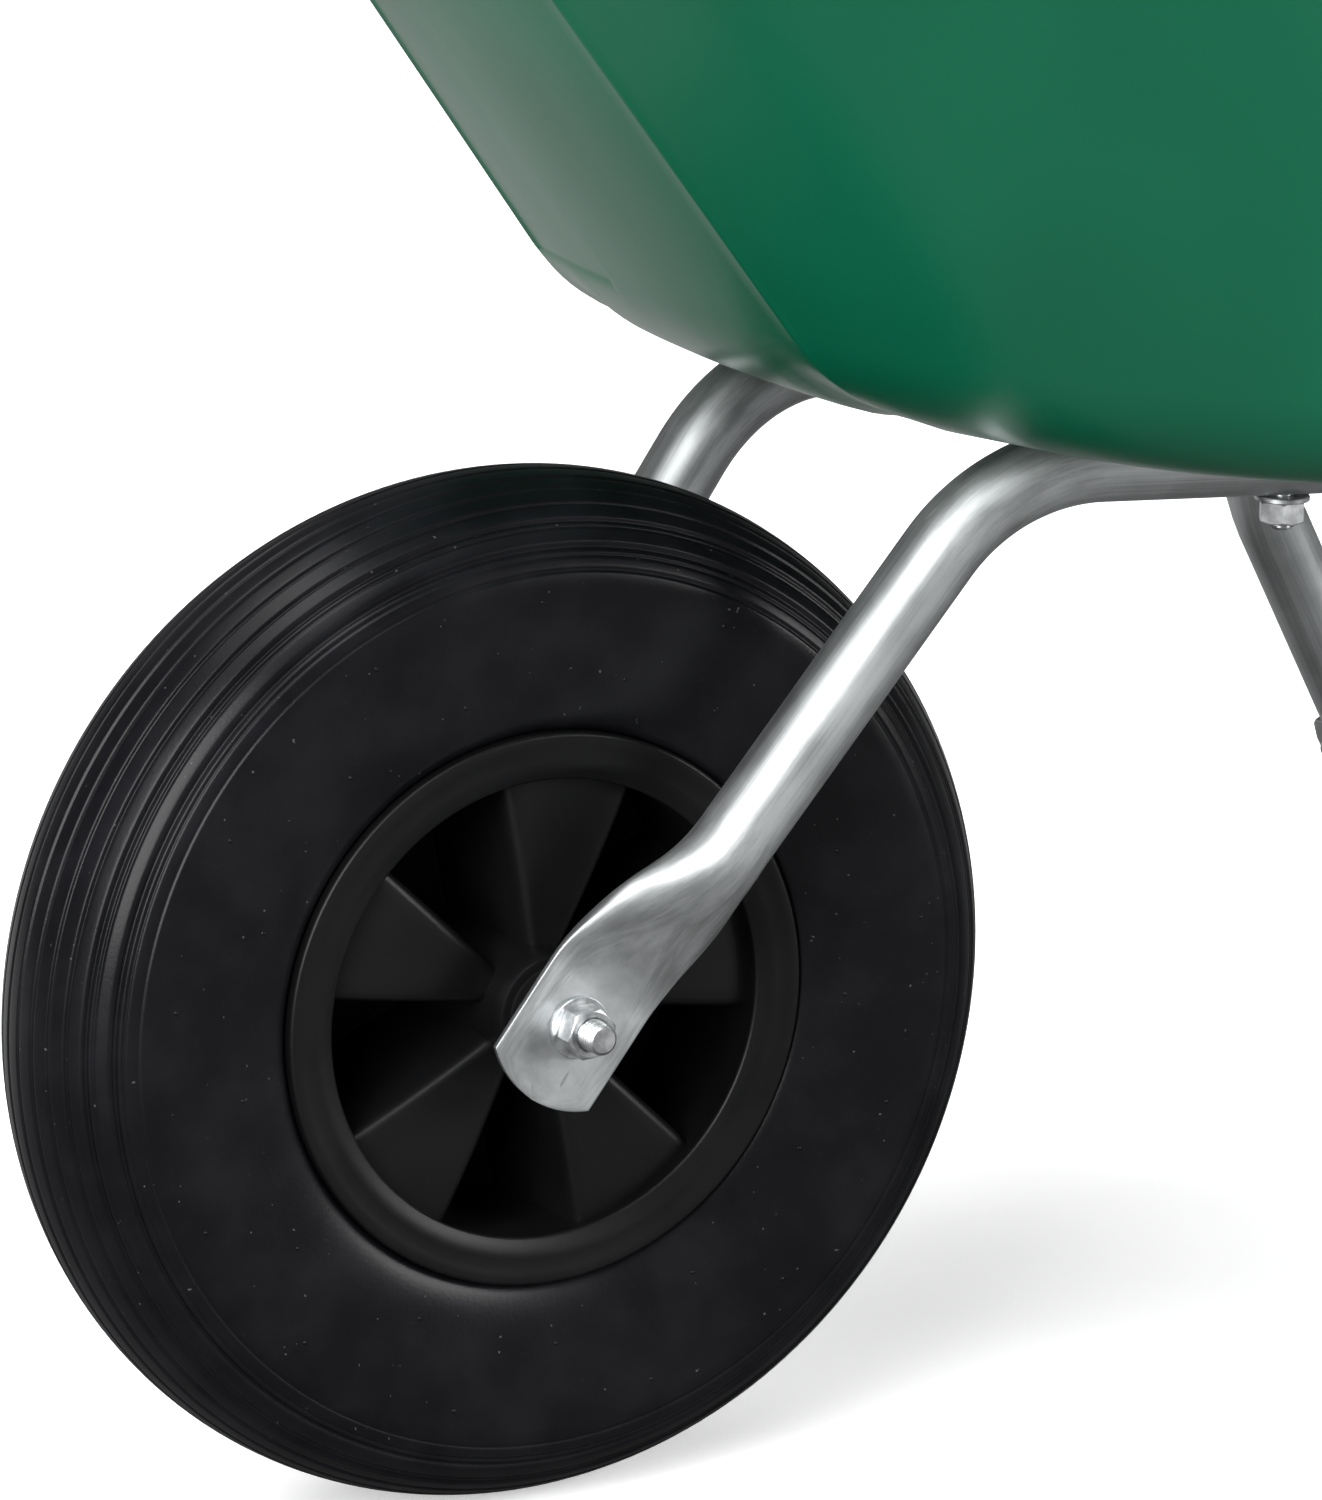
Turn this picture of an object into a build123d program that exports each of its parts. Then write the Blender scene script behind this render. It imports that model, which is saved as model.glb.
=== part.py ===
"""Garden wheelbarrow: plastic tray on two bent steel tubes, V legs and a pneumatic wheel.

Millimetres, +Z up, +X towards the wheel, +Y to the left side. The shapes are drawn from the
axle's centre and moved at the end, so that the origin is on the ground under the middle.
"""
from build123d import *
import math
import os

# ---- driving dimensions -------------------------------------------------------------------
AXLE_X = 499.3            # axle ahead of the origin, which is under the middle of the length
WHEEL_R = 200.0           # tyre's outer radius, and the axle's height over the ground

TUBE_OD = 30.0
TUBE_WALL = 1.5
STRUT_Y = 79.3            # strut's centreline beside the axle
PLATE_Y = (62.0, 65.5)    # inner and outer face of the flattened end
PLATE_WIDTH = 49.0
PLATE_REACH = 29.0        # plate's end past the axle hole
PLATE_END_R = 40.0        # radius of the plate's end
FLAT_LENGTH = 40.0        # flat stretch of the plate above the axle
ROUND_FROM = 84.0         # where the strut is fully round again
# The neck between plate and tube: place along the strut, half width, half thickness, and the
# place beside the wheel counted from the plate's middle plane.
NECK = ((68.0, 17.0, 12.0, 19.4), (48.0, 23.0, 4.5, 2.5), (32.0, 24.0, 1.7, 0.0))

SHOULDER = (-160.5, 101.9, 202.7)     # corner between strut and run
RUN_SPREAD = 0.18                     # run's sideways step per step back
RUN_FALL = 0.04                       # run's drop per step back
RUN_END_X = -750.0
HANDLE_KNEE = (-975.0, 250.0, 345.0)
HANDLE_END = (-1190.0, 278.0, 420.0)
BEND_RADII = [79.3, 110.0, 140.0]

TRAY_DEPTH = 275.0
TRAY_WALL = 4.0
# Where each wall's plane meets the floor's plane, its angle from the floor, and the radius of
# the rounding between them.
TRAY_FRONT = (-96.0, 52.7, 94.0)
TRAY_REAR = (-690.0, 67.0, 60.0)
TRAY_SIDE = (290.0, 86.0, 50.0)
CREASE_HALF = (107.7, 87.8)      # half width of the front face, at the floor and at the rim
FACET_ANGLE = 20.0        # turn of the facet beside it, in plan
FACET_LENGTH = (74.0, 83.0)
REAR_CORNER_R = (95.0, 115.0)
FOOT_LEVELS = (0.0, 2.0, 7.0, 15.0, 25.0, 37.0, 46.6)   # heights at which the rounding is drawn
RIM_BEAD_R = 8.0           # half the width that the rolled rim stands out
TRAY_BOLT_X = (-272.0, -458.0, -612.0)
TRAY_BOLT_LEG = (False, True, True)   # whether a leg's tab hangs on that bolt

LEG_TAB = 3.5             # thickness of the legs' flattened ends
LEG_TAB_WIDTH = 36.0
LEG_TAB_PAST = 20.0       # tab's length past its hole
LEG_FRONT_X = -405.0      # leg's centreline where it meets the front tab
LEG_REAR_X = -576.0
LEG_TAB_CORNER = 9.0
LEG_TOP_PAST = 8.0        # how far the leg's tube is drawn past its tab before it is cut off
FOOT_BEND_SHARE = 0.48    # share of the foot's straight that each foot bend takes
LEG_FOOT = ((-590.0, 184.0), (-632.0, 190.0))
FOOT_STRIP = (58.0, 24.0, 4.0)
STRIP_CORNER = 6.0
STRIP_SINK = 1.0          # how far the foot's tube is let into the strip

BRACE_Z = 0.0             # cross brace's height, level with the axle
BRACE_OD = 20.0
BRACE_TAB = (3.0, 28.0)   # thickness and height of the brace's ends
BRACE_TAB_Y = (-42.0, 18.0)   # from where to where an end reaches beside its bolt
BRACE_TAB_CORNER = 8.0
BRACE_WALL = 1.5
BRACE_OFF = 3.0           # how far the round part stands ahead of the ends' middle plane
BRACE_SHORT = 30.0        # the round part ends that far before the bolt

AXLE_R = 6.0
AXLE_HALF = 87.0
AXLE_CHAMFER = 1.0
AXLE_NUT_AF = 18.0
AXLE_NUT_H = 10.0
AXLE_WASHER = (12.0, 2.5)
RUNNING = 0.05            # radial clearance of the bushes on the axle
LOOSE = 0.25              # radial clearance of a bolt in its hole
SPACER = (10.0, 0.1, 0.4) # radius, radial clearance on the axle, and play beside the bush

RIM_FACE_Y = 42.3
RIM_RING_R = (88.7, 107.0)
RIM_SEAT_R = 101.6        # bead seat
RIM_WELL_R = 93.0         # inside of the barrel
RIM_FLANGE_T = 6.0
RIM_CHAMFER = 2.0
WEB_Y = 33.0              # outer face of the raised web sectors
WEB_T = 3.5
WEB_LET_IN = 2.0          # how far the web runs into the hub and the barrel
WEB_SECTORS = 10
WEB_FIRST = -27.0         # first raised sector's start, from +Z towards +X
HUB_R = 24.0
HUB_HALF = 47.0
BUSH_R = 15.0
BUSH_LENGTH = 26.0
BUSH_FLANGE = (4.0, 2.0)  # how far the flange stands out, and its thickness

# Half sections as (place beside the middle plane, radius), from the bead to the crown.
TYRE_SIDE = ((35.6, 107.6), (43.5, 118.0), (46.2, 142.0), (45.0, 165.0), (38.5, 184.0), (22.0, 196.5))
TYRE_BORE = ((29.0, 107.0), (36.5, 121.0), (41.0, 143.0), (39.5, 163.0), (33.5, 180.0), (19.0, 190.5))
TYRE_CROWN_BORE = 193.5
BEAD_Y = (29.0, 35.6)     # the bead's toe and heel beside the middle plane
BEAD_PLAY = 0.2           # radial clearance of the bead on its seat
INNER_TUBE = (148.2, 28.0, 41.6)      # section's centre radius, half width and half height
INNER_TUBE_WALL = 2.0

VALVE_ANGLE = -81.0       # in a raised sector, so it is reached from the right side
VALVE_R = 4.0
VALVE_Y = -8.0
VALVE_PLAY = 0.1          # radial clearance of the stem in the barrel
VALVE_STEM = (-5.0, 35.0, 1.0)        # start from the barrel's inside, length, bore radius
VALVE_CAP = (30.2, 9.0, 4.6, 0.8)     # start, length, radius, bore radius

BOLT_M10_R = 5.0
BOLT_M8_R = 4.0
NUT_M10 = (16.0, 8.4)     # across flats, height
NUT_M8 = (13.0, 6.8)
HEAD_M8_H = 5.3
NUT_CHAMFER = 0.9
INNER_WASHER = (15.0, 2.0)    # radius and thickness of the washers inside the tray
TUBE_WASHER = (10.5, 2.0)     # and of those under the tubes
BOLT_PAST = 13.0          # from the tube's or tab's underside to the bolt's end
BRACE_BOLT_PAST = 12.0
DOME = (14.5, 5.0)        # a coach bolt head's radius of curvature and height

GRIP_R = 18.0
GRIP_LENGTH = 125.0
GRIP_END = 4.0            # closed end's thickness
GRIP_COLLAR = (23.0, 6.0) # radius and length
GRIP_ROUND = 5.0

# ---- worked out from the above ------------------------------------------------------------
TUBE_R = TUBE_OD / 2
THROUGH = 4 * TUBE_OD     # length of a bar that cuts a hole, well past any wall here
SAME = 0.01               # places closer than this are one
STRUT_FOOT = Vector(0, STRUT_Y, 0)
STRUT_DIR = (Vector(*SHOULDER) - STRUT_FOOT).normalized()
PLATE_MID = sum(PLATE_Y) / 2
TILT = math.degrees(math.atan(RUN_FALL))
# The tray's own frame: its floor's underside lies on the two runs.
TRAY_ORIGIN_Z = SHOULDER[2] - RUN_FALL * SHOULDER[0] + TUBE_R / math.cos(math.radians(TILT))
TRAY_FRAME = Location((0, 0, TRAY_ORIGIN_Z)) * Location((0, 0, 0), (0, -TILT, 0))


def run_y(x):
    """Half distance between the runs at x."""
    return SHOULDER[1] + RUN_SPREAD * (SHOULDER[0] - x)


def run_z(x):
    """Height of the run's centreline at x."""
    return SHOULDER[2] - RUN_FALL * (SHOULDER[0] - x)


def between(ends, share):
    """The value a share of the way from the first of two ends to the second."""
    return ends[0] + (ends[1] - ends[0]) * share


def mirrored(shape):
    """The same shape on the right side."""
    return mirror(shape, about=Plane.XZ)


def both(shape):
    """The shape and its twin on the right side, as separate solids."""
    return Compound(children=[shape, mirrored(shape)])


def on_y(shape, y):
    """Turns a shape drawn along +Z so that it runs along +Y from y."""
    return Location((0, y, 0), (-90, 0, 0)) * shape


def ring(outer, inner, length):
    """A flat ring or a short tube, standing on z = 0."""
    lift = Location((0, 0, length / 2))
    return lift * (Cylinder(outer, length) - Cylinder(inner, length * 2))


def hex_nut(flats, height, bore):
    """A hexagon nut with chamfered corners, standing on z = 0."""
    corner = flats / math.sqrt(3)
    prism = extrude(RegularPolygon(corner, 6), height)
    cap = Location((0, 0, height / 2)) * Cylinder(corner, height)
    cap = chamfer(cap.edges().filter_by(GeomType.CIRCLE), NUT_CHAMFER)
    return (prism & cap) - Cylinder(bore, height * 3)


# ---- frame --------------------------------------------------------------------------------
def strut_section(along, half_wide, half_thick, y):
    """An ellipse across the strut, its wide axis in the plate's plane."""
    centre = STRUT_FOOT + STRUT_DIR * along
    across = Vector(STRUT_DIR.Z, 0, -STRUT_DIR.X)
    plane = Plane(origin=(centre.X, y, centre.Z), x_dir=across, z_dir=STRUT_DIR)
    return plane * Ellipse(half_wide, half_thick)


def tube_line(points, radii, start_dir, radius):
    """A round bar along straight runs joined by tangent arcs."""
    path = FilletPolyline(*points, radius=radii)
    start = Plane(origin=points[0], z_dir=start_dir)
    return sweep(start * Circle(radius), path=path)


def main_tube():
    """Left tube: flattened plate at the wheel, strut, run under the tray and handle."""
    start = STRUT_FOOT + STRUT_DIR * ROUND_FROM
    points = [start, Vector(*SHOULDER), Vector(RUN_END_X, run_y(RUN_END_X), run_z(RUN_END_X)),
              Vector(*HANDLE_KNEE), Vector(*HANDLE_END)]
    tube = tube_line(points, BEND_RADII, STRUT_DIR, TUBE_R)
    tube -= tube_line(points, BEND_RADII, STRUT_DIR, TUBE_R - TUBE_WALL)
    sections = [strut_section(along, wide, thick, PLATE_MID + aside) for along, wide, thick, aside in NECK]
    neck = loft([strut_section(ROUND_FROM, TUBE_R, TUBE_R, start.Y), *sections])
    tube = tube + neck + strut_plate()
    tube -= on_y(Cylinder(AXLE_R + LOOSE, 2 * AXLE_HALF), 0)
    for x in TRAY_BOLT_X:
        tube -= bolt_place(x, 0) * Cylinder(BOLT_M10_R + LOOSE, THROUGH)
    return tube


def strut_plate():
    """The pressed-flat end with its rounded tip, in the plane beside the wheel."""
    length = PLATE_REACH + FLAT_LENGTH
    thick = PLATE_Y[1] - PLATE_Y[0]
    slab = Location(((FLAT_LENGTH - PLATE_REACH) / 2, 0, 0)) * Box(length, PLATE_WIDTH, thick)
    tip = Location((PLATE_END_R - PLATE_REACH, 0, 0)) * Cylinder(PLATE_END_R, thick)
    back = Location((FLAT_LENGTH, 0, 0)) * Box(2 * FLAT_LENGTH, PLATE_WIDTH, thick)
    blank = slab & (tip + back)
    lean = Vector(STRUT_DIR.X, 0, STRUT_DIR.Z)
    return Plane(origin=(0, PLATE_MID, 0), x_dir=lean, z_dir=(0, 1, 0)) * blank


def grip():
    """Left hand grip: a closed moulded sleeve with finger rings and a collar."""
    end = Vector(*HANDLE_END)
    back = (end - Vector(*HANDLE_KNEE)).normalized()
    sleeve = Location((0, 0, GRIP_LENGTH / 2)) * Cylinder(GRIP_R, GRIP_LENGTH)
    sleeve = fillet(sleeve.edges().filter_by(GeomType.CIRCLE).sort_by(Axis.Z)[-1], GRIP_ROUND)
    sleeve += ring(GRIP_COLLAR[0], TUBE_R, GRIP_COLLAR[1])
    covered = GRIP_LENGTH - GRIP_END
    sleeve -= Cylinder(TUBE_R, 2 * covered)
    return Plane(origin=end - back * covered, z_dir=back) * sleeve


# ---- legs ---------------------------------------------------------------------------------
def tab_drop():
    """Height of the legs' tabs in the tray's frame: right under the runs."""
    return -TUBE_OD


def leg_top(x):
    """A point on the leg's centreline at the underside of its tab."""
    return Vector(x, run_y(x), run_z(x) - TUBE_R - LEG_TAB)


def leg_tab(root_x, hole_x):
    """One flattened end, from behind the leg's tube to past its bolt."""
    step = 1 if hole_x > root_x else -1
    near = root_x - step * TUBE_R
    far = hole_x + step * LEG_TAB_PAST
    middle = (near + far) / 2
    length = abs(far - near)
    turn = Location((0, 0, 0), (0, 0, -math.degrees(math.atan(RUN_SPREAD))))
    plate = Box(length, LEG_TAB_WIDTH, LEG_TAB)
    plate = fillet(plate.edges().filter_by(Axis.Z), LEG_TAB_CORNER)
    place = TRAY_FRAME * Location((middle, run_y(middle), tab_drop() - LEG_TAB / 2))
    return place * turn * plate


def leg_points():
    """Corners of the left leg's centreline: front tab, two foot corners, rear tab."""
    foot_z = -WHEEL_R + FOOT_STRIP[2] + TUBE_R - STRIP_SINK
    feet = [Vector(x, y, foot_z) for x, y in LEG_FOOT]
    front, rear = leg_top(LEG_FRONT_X), leg_top(LEG_REAR_X)
    up_front = (front - feet[0]).normalized() * LEG_TOP_PAST
    up_rear = (rear - feet[1]).normalized() * LEG_TOP_PAST
    return [front + up_front, feet[0], feet[1], rear + up_rear]


def leg():
    """Left leg: one tube bent to a V, its ends pressed into tabs, a wear strip on the foot."""
    points = leg_points()
    down = (points[1] - points[0]).normalized()
    tube = tube_line(points, foot_radii(points), down, TUBE_R)
    tube -= tube_line(points, foot_radii(points), down, TUBE_R - TUBE_WALL)
    reach = 2 * TRAY_DEPTH
    over_tabs = Location((LEG_FRONT_X, LEG_FOOT[0][1], tab_drop() - LEG_TAB + reach / 2))
    tube -= TRAY_FRAME * over_tabs * Box(2 * reach, 2 * reach, reach)
    tube += leg_tab(LEG_FRONT_X, TRAY_BOLT_X[1])
    tube += leg_tab(LEG_REAR_X, TRAY_BOLT_X[2])
    tube += foot_strip()
    for x in TRAY_BOLT_X[1:]:
        tube -= bolt_place(x, 0) * Cylinder(BOLT_M10_R + LOOSE, THROUGH)
    tube -= brace_place() * Rot(0, 90, 0) * Cylinder(BOLT_M8_R + LOOSE, THROUGH)
    return tube


def foot_radii(points):
    """Bend radii that the short run under the foot leaves room for."""
    length = (points[2] - points[1]).length
    radii = []
    for before, corner, after in zip(points, points[1:], points[2:]):
        turn = (corner - before).get_angle(after - corner)
        radii.append(FOOT_BEND_SHARE * length / math.tan(math.radians(turn) / 2))
    return radii


def foot_strip():
    """Welded wear strip: the flat that the barrow stands on."""
    (x1, y1), (x2, y2) = LEG_FOOT
    heading = math.degrees(math.atan2(y1 - y2, x1 - x2))
    strip = fillet(Box(*FOOT_STRIP).edges().filter_by(Axis.Z), STRIP_CORNER)
    height = -WHEEL_R + FOOT_STRIP[2] / 2
    return Location(((x1 + x2) / 2, (y1 + y2) / 2, height), (0, 0, heading)) * strip


def brace_centre():
    """Where the brace's bolt crosses the left leg's front member."""
    top, foot = leg_points()[:2]
    share = (top.Z - BRACE_Z) / (top.Z - foot.Z)
    return top + (foot - top) * share


def brace_place():
    """Frame on the left leg at the brace: x ahead, off the tube, y across, z up the leg."""
    top, foot = leg_points()[:2]
    up = (top - foot).normalized()
    ahead = Vector(0, 1, 0).cross(up).normalized()
    return Plane(origin=brace_centre(), x_dir=ahead, z_dir=ahead.cross(Vector(0, 1, 0))).location


def leg_brace():
    """Cross tube between the legs with pressed ends bolted on their front."""
    thick, tall = BRACE_TAB
    reach = brace_centre().Y
    inner, outer = BRACE_TAB_Y
    tab = Location((TUBE_R + thick / 2, (inner + outer) / 2, 0)) * Box(thick, outer - inner, tall)
    tab = fillet(tab.edges().filter_by(Axis.X), BRACE_TAB_CORNER)
    tab -= Rot(0, 90, 0) * Cylinder(BOLT_M8_R + LOOSE, THROUGH)
    ends = brace_place() * tab
    half = reach - BRACE_SHORT
    bar_at = brace_place() * Location((TUBE_R + thick / 2 + BRACE_OFF, -reach, 0))
    bar = bar_at * Rot(90, 0, 0) * ring(BRACE_OD / 2, BRACE_OD / 2 - BRACE_WALL, 2 * half)
    bar = Location((0, half, 0)) * bar
    return bar + ends + mirrored(ends)


def brace_fastener(kind):
    """One M8 bolt or nut of the brace, on the left leg."""
    thick = BRACE_TAB[0]
    front = TUBE_R + thick
    if kind == "bolt":
        hexagon = extrude(RegularPolygon(NUT_M8[0] / math.sqrt(3), 6), HEAD_M8_H)
        head = Location((0, 0, front)) * hexagon
        length = front + TUBE_R + BRACE_BOLT_PAST
        shank = Location((0, 0, front - length / 2)) * Cylinder(BOLT_M8_R, length)
        shape = head + shank
    else:
        shape = Location((0, 0, -TUBE_R - NUT_M8[1])) * hex_nut(*NUT_M8, BOLT_M8_R + RUNNING)
    return brace_place() * Rot(0, 90, 0) * shape


# ---- tray ---------------------------------------------------------------------------------
def foot_pull(height, angle, radius):
    """How far the rounding at a wall's foot draws it in from its plane at a height."""
    half = math.radians(angle) / 2
    turn = min(math.acos(max(-1.0, 1 - height / radius)), 2 * half)
    reach = radius * math.tan(half) - radius * math.sin(turn)
    return reach + radius * (1 - math.cos(turn)) / math.tan(2 * half)


def wall_out(wall, height, inset):
    """How far out a wall stands at a height from where its plane meets the floor's."""
    angle, radius = wall[1:]
    return height / math.tan(math.radians(angle)) - foot_pull(height, angle, radius) - inset


def tray_outline(height, inset):
    """Plan at a height over the floor, its walls moved in by inset.

    Straight front, a facet turned from it, a large corner, the side and a rounded rear corner.
    """
    share = height / TRAY_DEPTH
    front = TRAY_FRONT[0] + wall_out(TRAY_FRONT, height, inset)
    rear = TRAY_REAR[0] - wall_out(TRAY_REAR, height, inset)
    half = TRAY_SIDE[0] + wall_out(TRAY_SIDE, height, inset)
    facet = math.radians(FACET_ANGLE)
    crease = between(CREASE_HALF, share) - inset * math.tan(facet / 2)
    whole = (half - crease) / math.cos(facet)     # facet's length if it ran on to the side
    corner_x = front - whole * math.sin(facet)
    big = (whole - between(FACET_LENGTH, share)) / math.tan((math.pi / 2 - facet) / 2)
    left = [(front, crease), (corner_x, half), (rear, half)]
    right = [(x, -y) for x, y in reversed(left)]
    face = make_face(Polyline(*left, *right, close=True))
    for x, radius in ((corner_x, big), (rear, between(REAR_CORNER_R, share) - inset)):
        corners = [v for v in face.vertices() if abs(v.X - x) < SAME and abs(abs(v.Y) - half) < SAME]
        face = fillet(corners, radius)
    return Location((0, 0, height)) * face


def tray_stack(heights, inset, base):
    """Solid between the outlines, stretch by stretch."""
    faces = [tray_outline(height, inset) for height in heights]
    faces[0] = Location((0, 0, base)) * faces[0]
    solid = loft(faces[:2], ruled=True)
    for low, high in zip(faces[1:], faces[2:]):
        solid += loft([low, high], ruled=True)
    return solid


def tray():
    """Moulded tray: rounded foot, sloping walls and a rolled rim."""
    heights = [*FOOT_LEVELS, TRAY_DEPTH]
    shell = tray_stack(heights, 0, 0) - tray_stack(heights, TRAY_WALL, TRAY_WALL)
    shell += rolled_rim()
    for x in TRAY_BOLT_X:
        for side in (1, -1):
            shell -= Location((x, side * run_y(x), 0)) * Cylinder(BOLT_M10_R + LOOSE, THROUGH)
    return TRAY_FRAME * shell


def rolled_rim():
    """Rolled rim: a flat lip turned out and down round the top."""
    top = tray_outline(TRAY_DEPTH, 0)
    lip = offset(top, RIM_BEAD_R * 2) - tray_outline(TRAY_DEPTH, TRAY_WALL)
    lip = extrude(lip, -TRAY_WALL)
    skirt = offset(top, RIM_BEAD_R * 2) - offset(top, RIM_BEAD_R * 2 - TRAY_WALL)
    skirt = extrude(skirt, -RIM_BEAD_R * 2)
    return lip + skirt


def bolt_place(x, z):
    """Frame of a tray bolt on the left run, z counted from the floor's underside."""
    return TRAY_FRAME * Location((x, run_y(x), z))


def tray_fasteners(kind):
    """Coach bolts, inner washers, tube washers or nuts of the tray, left and right."""
    group = []
    for x, on_leg in zip(TRAY_BOLT_X, TRAY_BOLT_LEG):
        under = -TUBE_OD - (LEG_TAB if on_leg else 0)
        if kind == "bolt":
            seat = TRAY_WALL + INNER_WASHER[1]
            length = seat - under + BOLT_PAST
            shank = Location((0, 0, seat - length / 2)) * Cylinder(BOLT_M10_R, length)
            curve, rise = DOME
            dome = Location((0, 0, seat + rise - curve)) * Sphere(curve)
            dome &= Location((0, 0, seat + curve)) * Box(4 * curve, 4 * curve, 2 * curve)
            shape = shank + dome
        elif kind == "inner":
            radius, thick = INNER_WASHER
            shape = Location((0, 0, TRAY_WALL)) * ring(radius, BOLT_M10_R + LOOSE, thick)
        elif kind == "tube":
            radius, thick = TUBE_WASHER
            shape = Location((0, 0, under - thick)) * ring(radius, BOLT_M10_R + LOOSE, thick)
        else:
            nut = hex_nut(*NUT_M10, BOLT_M10_R + RUNNING)
            shape = Location((0, 0, under - TUBE_WASHER[1] - NUT_M10[1])) * nut
        shape = bolt_place(x, 0) * shape
        group += [shape, mirrored(shape)]
    return Compound(children=group)


# ---- wheel --------------------------------------------------------------------------------
def spun(profile):
    """Turns a closed outline of (y, radius) points round the axle."""
    return revolve(make_face(profile), axis=Axis.Y)


def wheel_points(points):
    """(y, radius) points as points of the section above the axle."""
    return [(0, y, radius) for y, radius in points]


def across(half, crown):
    """A half section's points carried over the crown to the other side."""
    return [(-y, radius) for y, radius in half] + [(0, crown), *half[::-1]]


def tyre():
    """Pneumatic tyre, hollow, with bead heels on the rim's seats."""
    outer = wheel_points(across(TYRE_SIDE, WHEEL_R))
    inner = wheel_points(across(TYRE_BORE, TYRE_CROWN_BORE))
    toe = [(y, RIM_SEAT_R + BEAD_PLAY) for y in BEAD_Y]
    lines = Spline(*outer) + Spline(*inner)
    lines += Polyline(inner[-1], *wheel_points(toe), outer[-1])
    lines += Polyline(inner[0], *wheel_points([(-y, radius) for y, radius in toe]), outer[0])
    return spun(lines)


def inner_tube():
    """Butyl tube inside the tyre."""
    middle, half_wide, half_high = INNER_TUBE
    section = Plane(origin=(0, 0, middle), x_dir=(0, 1, 0), z_dir=(1, 0, 0))
    air = Ellipse(half_wide - INNER_TUBE_WALL, half_high - INNER_TUBE_WALL)
    face = section * (Ellipse(half_wide, half_high) - air)
    return revolve(face, axis=Axis.Y)


def rim():
    """Moulded rim: barrel and flanges, a web of sectors turn about, and the hub."""
    face, (edge, lip) = RIM_FACE_Y, RIM_RING_R
    well, cut = face - RIM_FLANGE_T, RIM_CHAMFER
    half = [(face, edge), (face, lip - cut), (face - cut, lip), (well, lip), (well, RIM_SEAT_R)]
    inner = [(well, RIM_WELL_R)]
    ring_pts = [(-y, r) for y, r in inner] + [(-y, r) for y, r in half]
    ring_pts += half[::-1] + inner
    barrel = spun(Polyline(*wheel_points(ring_pts), close=True))
    hub = on_y(ring(HUB_R, BUSH_R, 2 * HUB_HALF), -HUB_HALF)
    body = barrel + hub
    root, end = HUB_R - WEB_LET_IN, RIM_WELL_R + WEB_LET_IN
    step = 360 / WEB_SECTORS
    for index in range(WEB_SECTORS):
        low = WEB_Y - WEB_T if index % 2 == 0 else -WEB_Y
        high = low + WEB_T
        section = Polyline(*wheel_points([(low, root), (low, end), (high, end), (high, root)]), close=True)
        sector = revolve(make_face(section), axis=Axis.Y, revolution_arc=step)
        wall = Location((0, 0, (root + end) / 2)) * Box(WEB_T, 2 * WEB_Y, end - root)
        turn = Rot(0, WEB_FIRST + index * step, 0)
        body = body + turn * sector + turn * wall
    return body - valve_place() * Cylinder(VALVE_R + VALVE_PLAY, THROUGH)


def hub_bush():
    """Left bush: a flanged sleeve pressed into the hub."""
    sleeve = ring(BUSH_R, AXLE_R + RUNNING, BUSH_LENGTH)
    past, thick = BUSH_FLANGE
    sleeve += Location((0, 0, BUSH_LENGTH)) * ring(BUSH_R + past, AXLE_R + RUNNING, thick)
    return on_y(sleeve, HUB_HALF - BUSH_LENGTH)


def valve_place():
    """Frame where the valve leaves the barrel, z towards the axle."""
    return Rot(0, VALVE_ANGLE, 0) * Location((0, VALVE_Y, RIM_WELL_R), (180, 0, 0))


def valve_stem():
    """Valve stem through the barrel."""
    start, length, bore = VALVE_STEM
    return valve_place() * Location((0, 0, start)) * ring(VALVE_R, bore, length)


def valve_cap():
    """Dust cap on the stem's end."""
    start, length, radius, bore = VALVE_CAP
    cap = Location((0, 0, start)) * ring(radius, bore, length)
    return valve_place() * fillet(cap.edges().filter_by(GeomType.CIRCLE).sort_by(Axis.Z)[-1:], bore)


def axle():
    """Threaded axle through both plates."""
    bar = Location((0, 0, AXLE_HALF)) * Cylinder(AXLE_R, 2 * AXLE_HALF)
    bar = chamfer(bar.edges().filter_by(GeomType.CIRCLE), AXLE_CHAMFER)
    return on_y(bar, -AXLE_HALF)


def axle_spacer():
    """Sleeve between the left bush and the plate."""
    radius, clearance, play = SPACER
    start = HUB_HALF + BUSH_FLANGE[1] + play
    return on_y(ring(radius, AXLE_R + clearance, PLATE_Y[0] - start), start)


def axle_washer():
    """Flat washer on the left plate."""
    radius, thick = AXLE_WASHER
    return on_y(ring(radius, AXLE_R + LOOSE, thick), PLATE_Y[1])


def axle_nut():
    """Hexagon nut on the left washer."""
    nut = hex_nut(AXLE_NUT_AF, AXLE_NUT_H, AXLE_R + RUNNING)
    return on_y(nut, PLATE_Y[1] + AXLE_WASHER[1])


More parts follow.
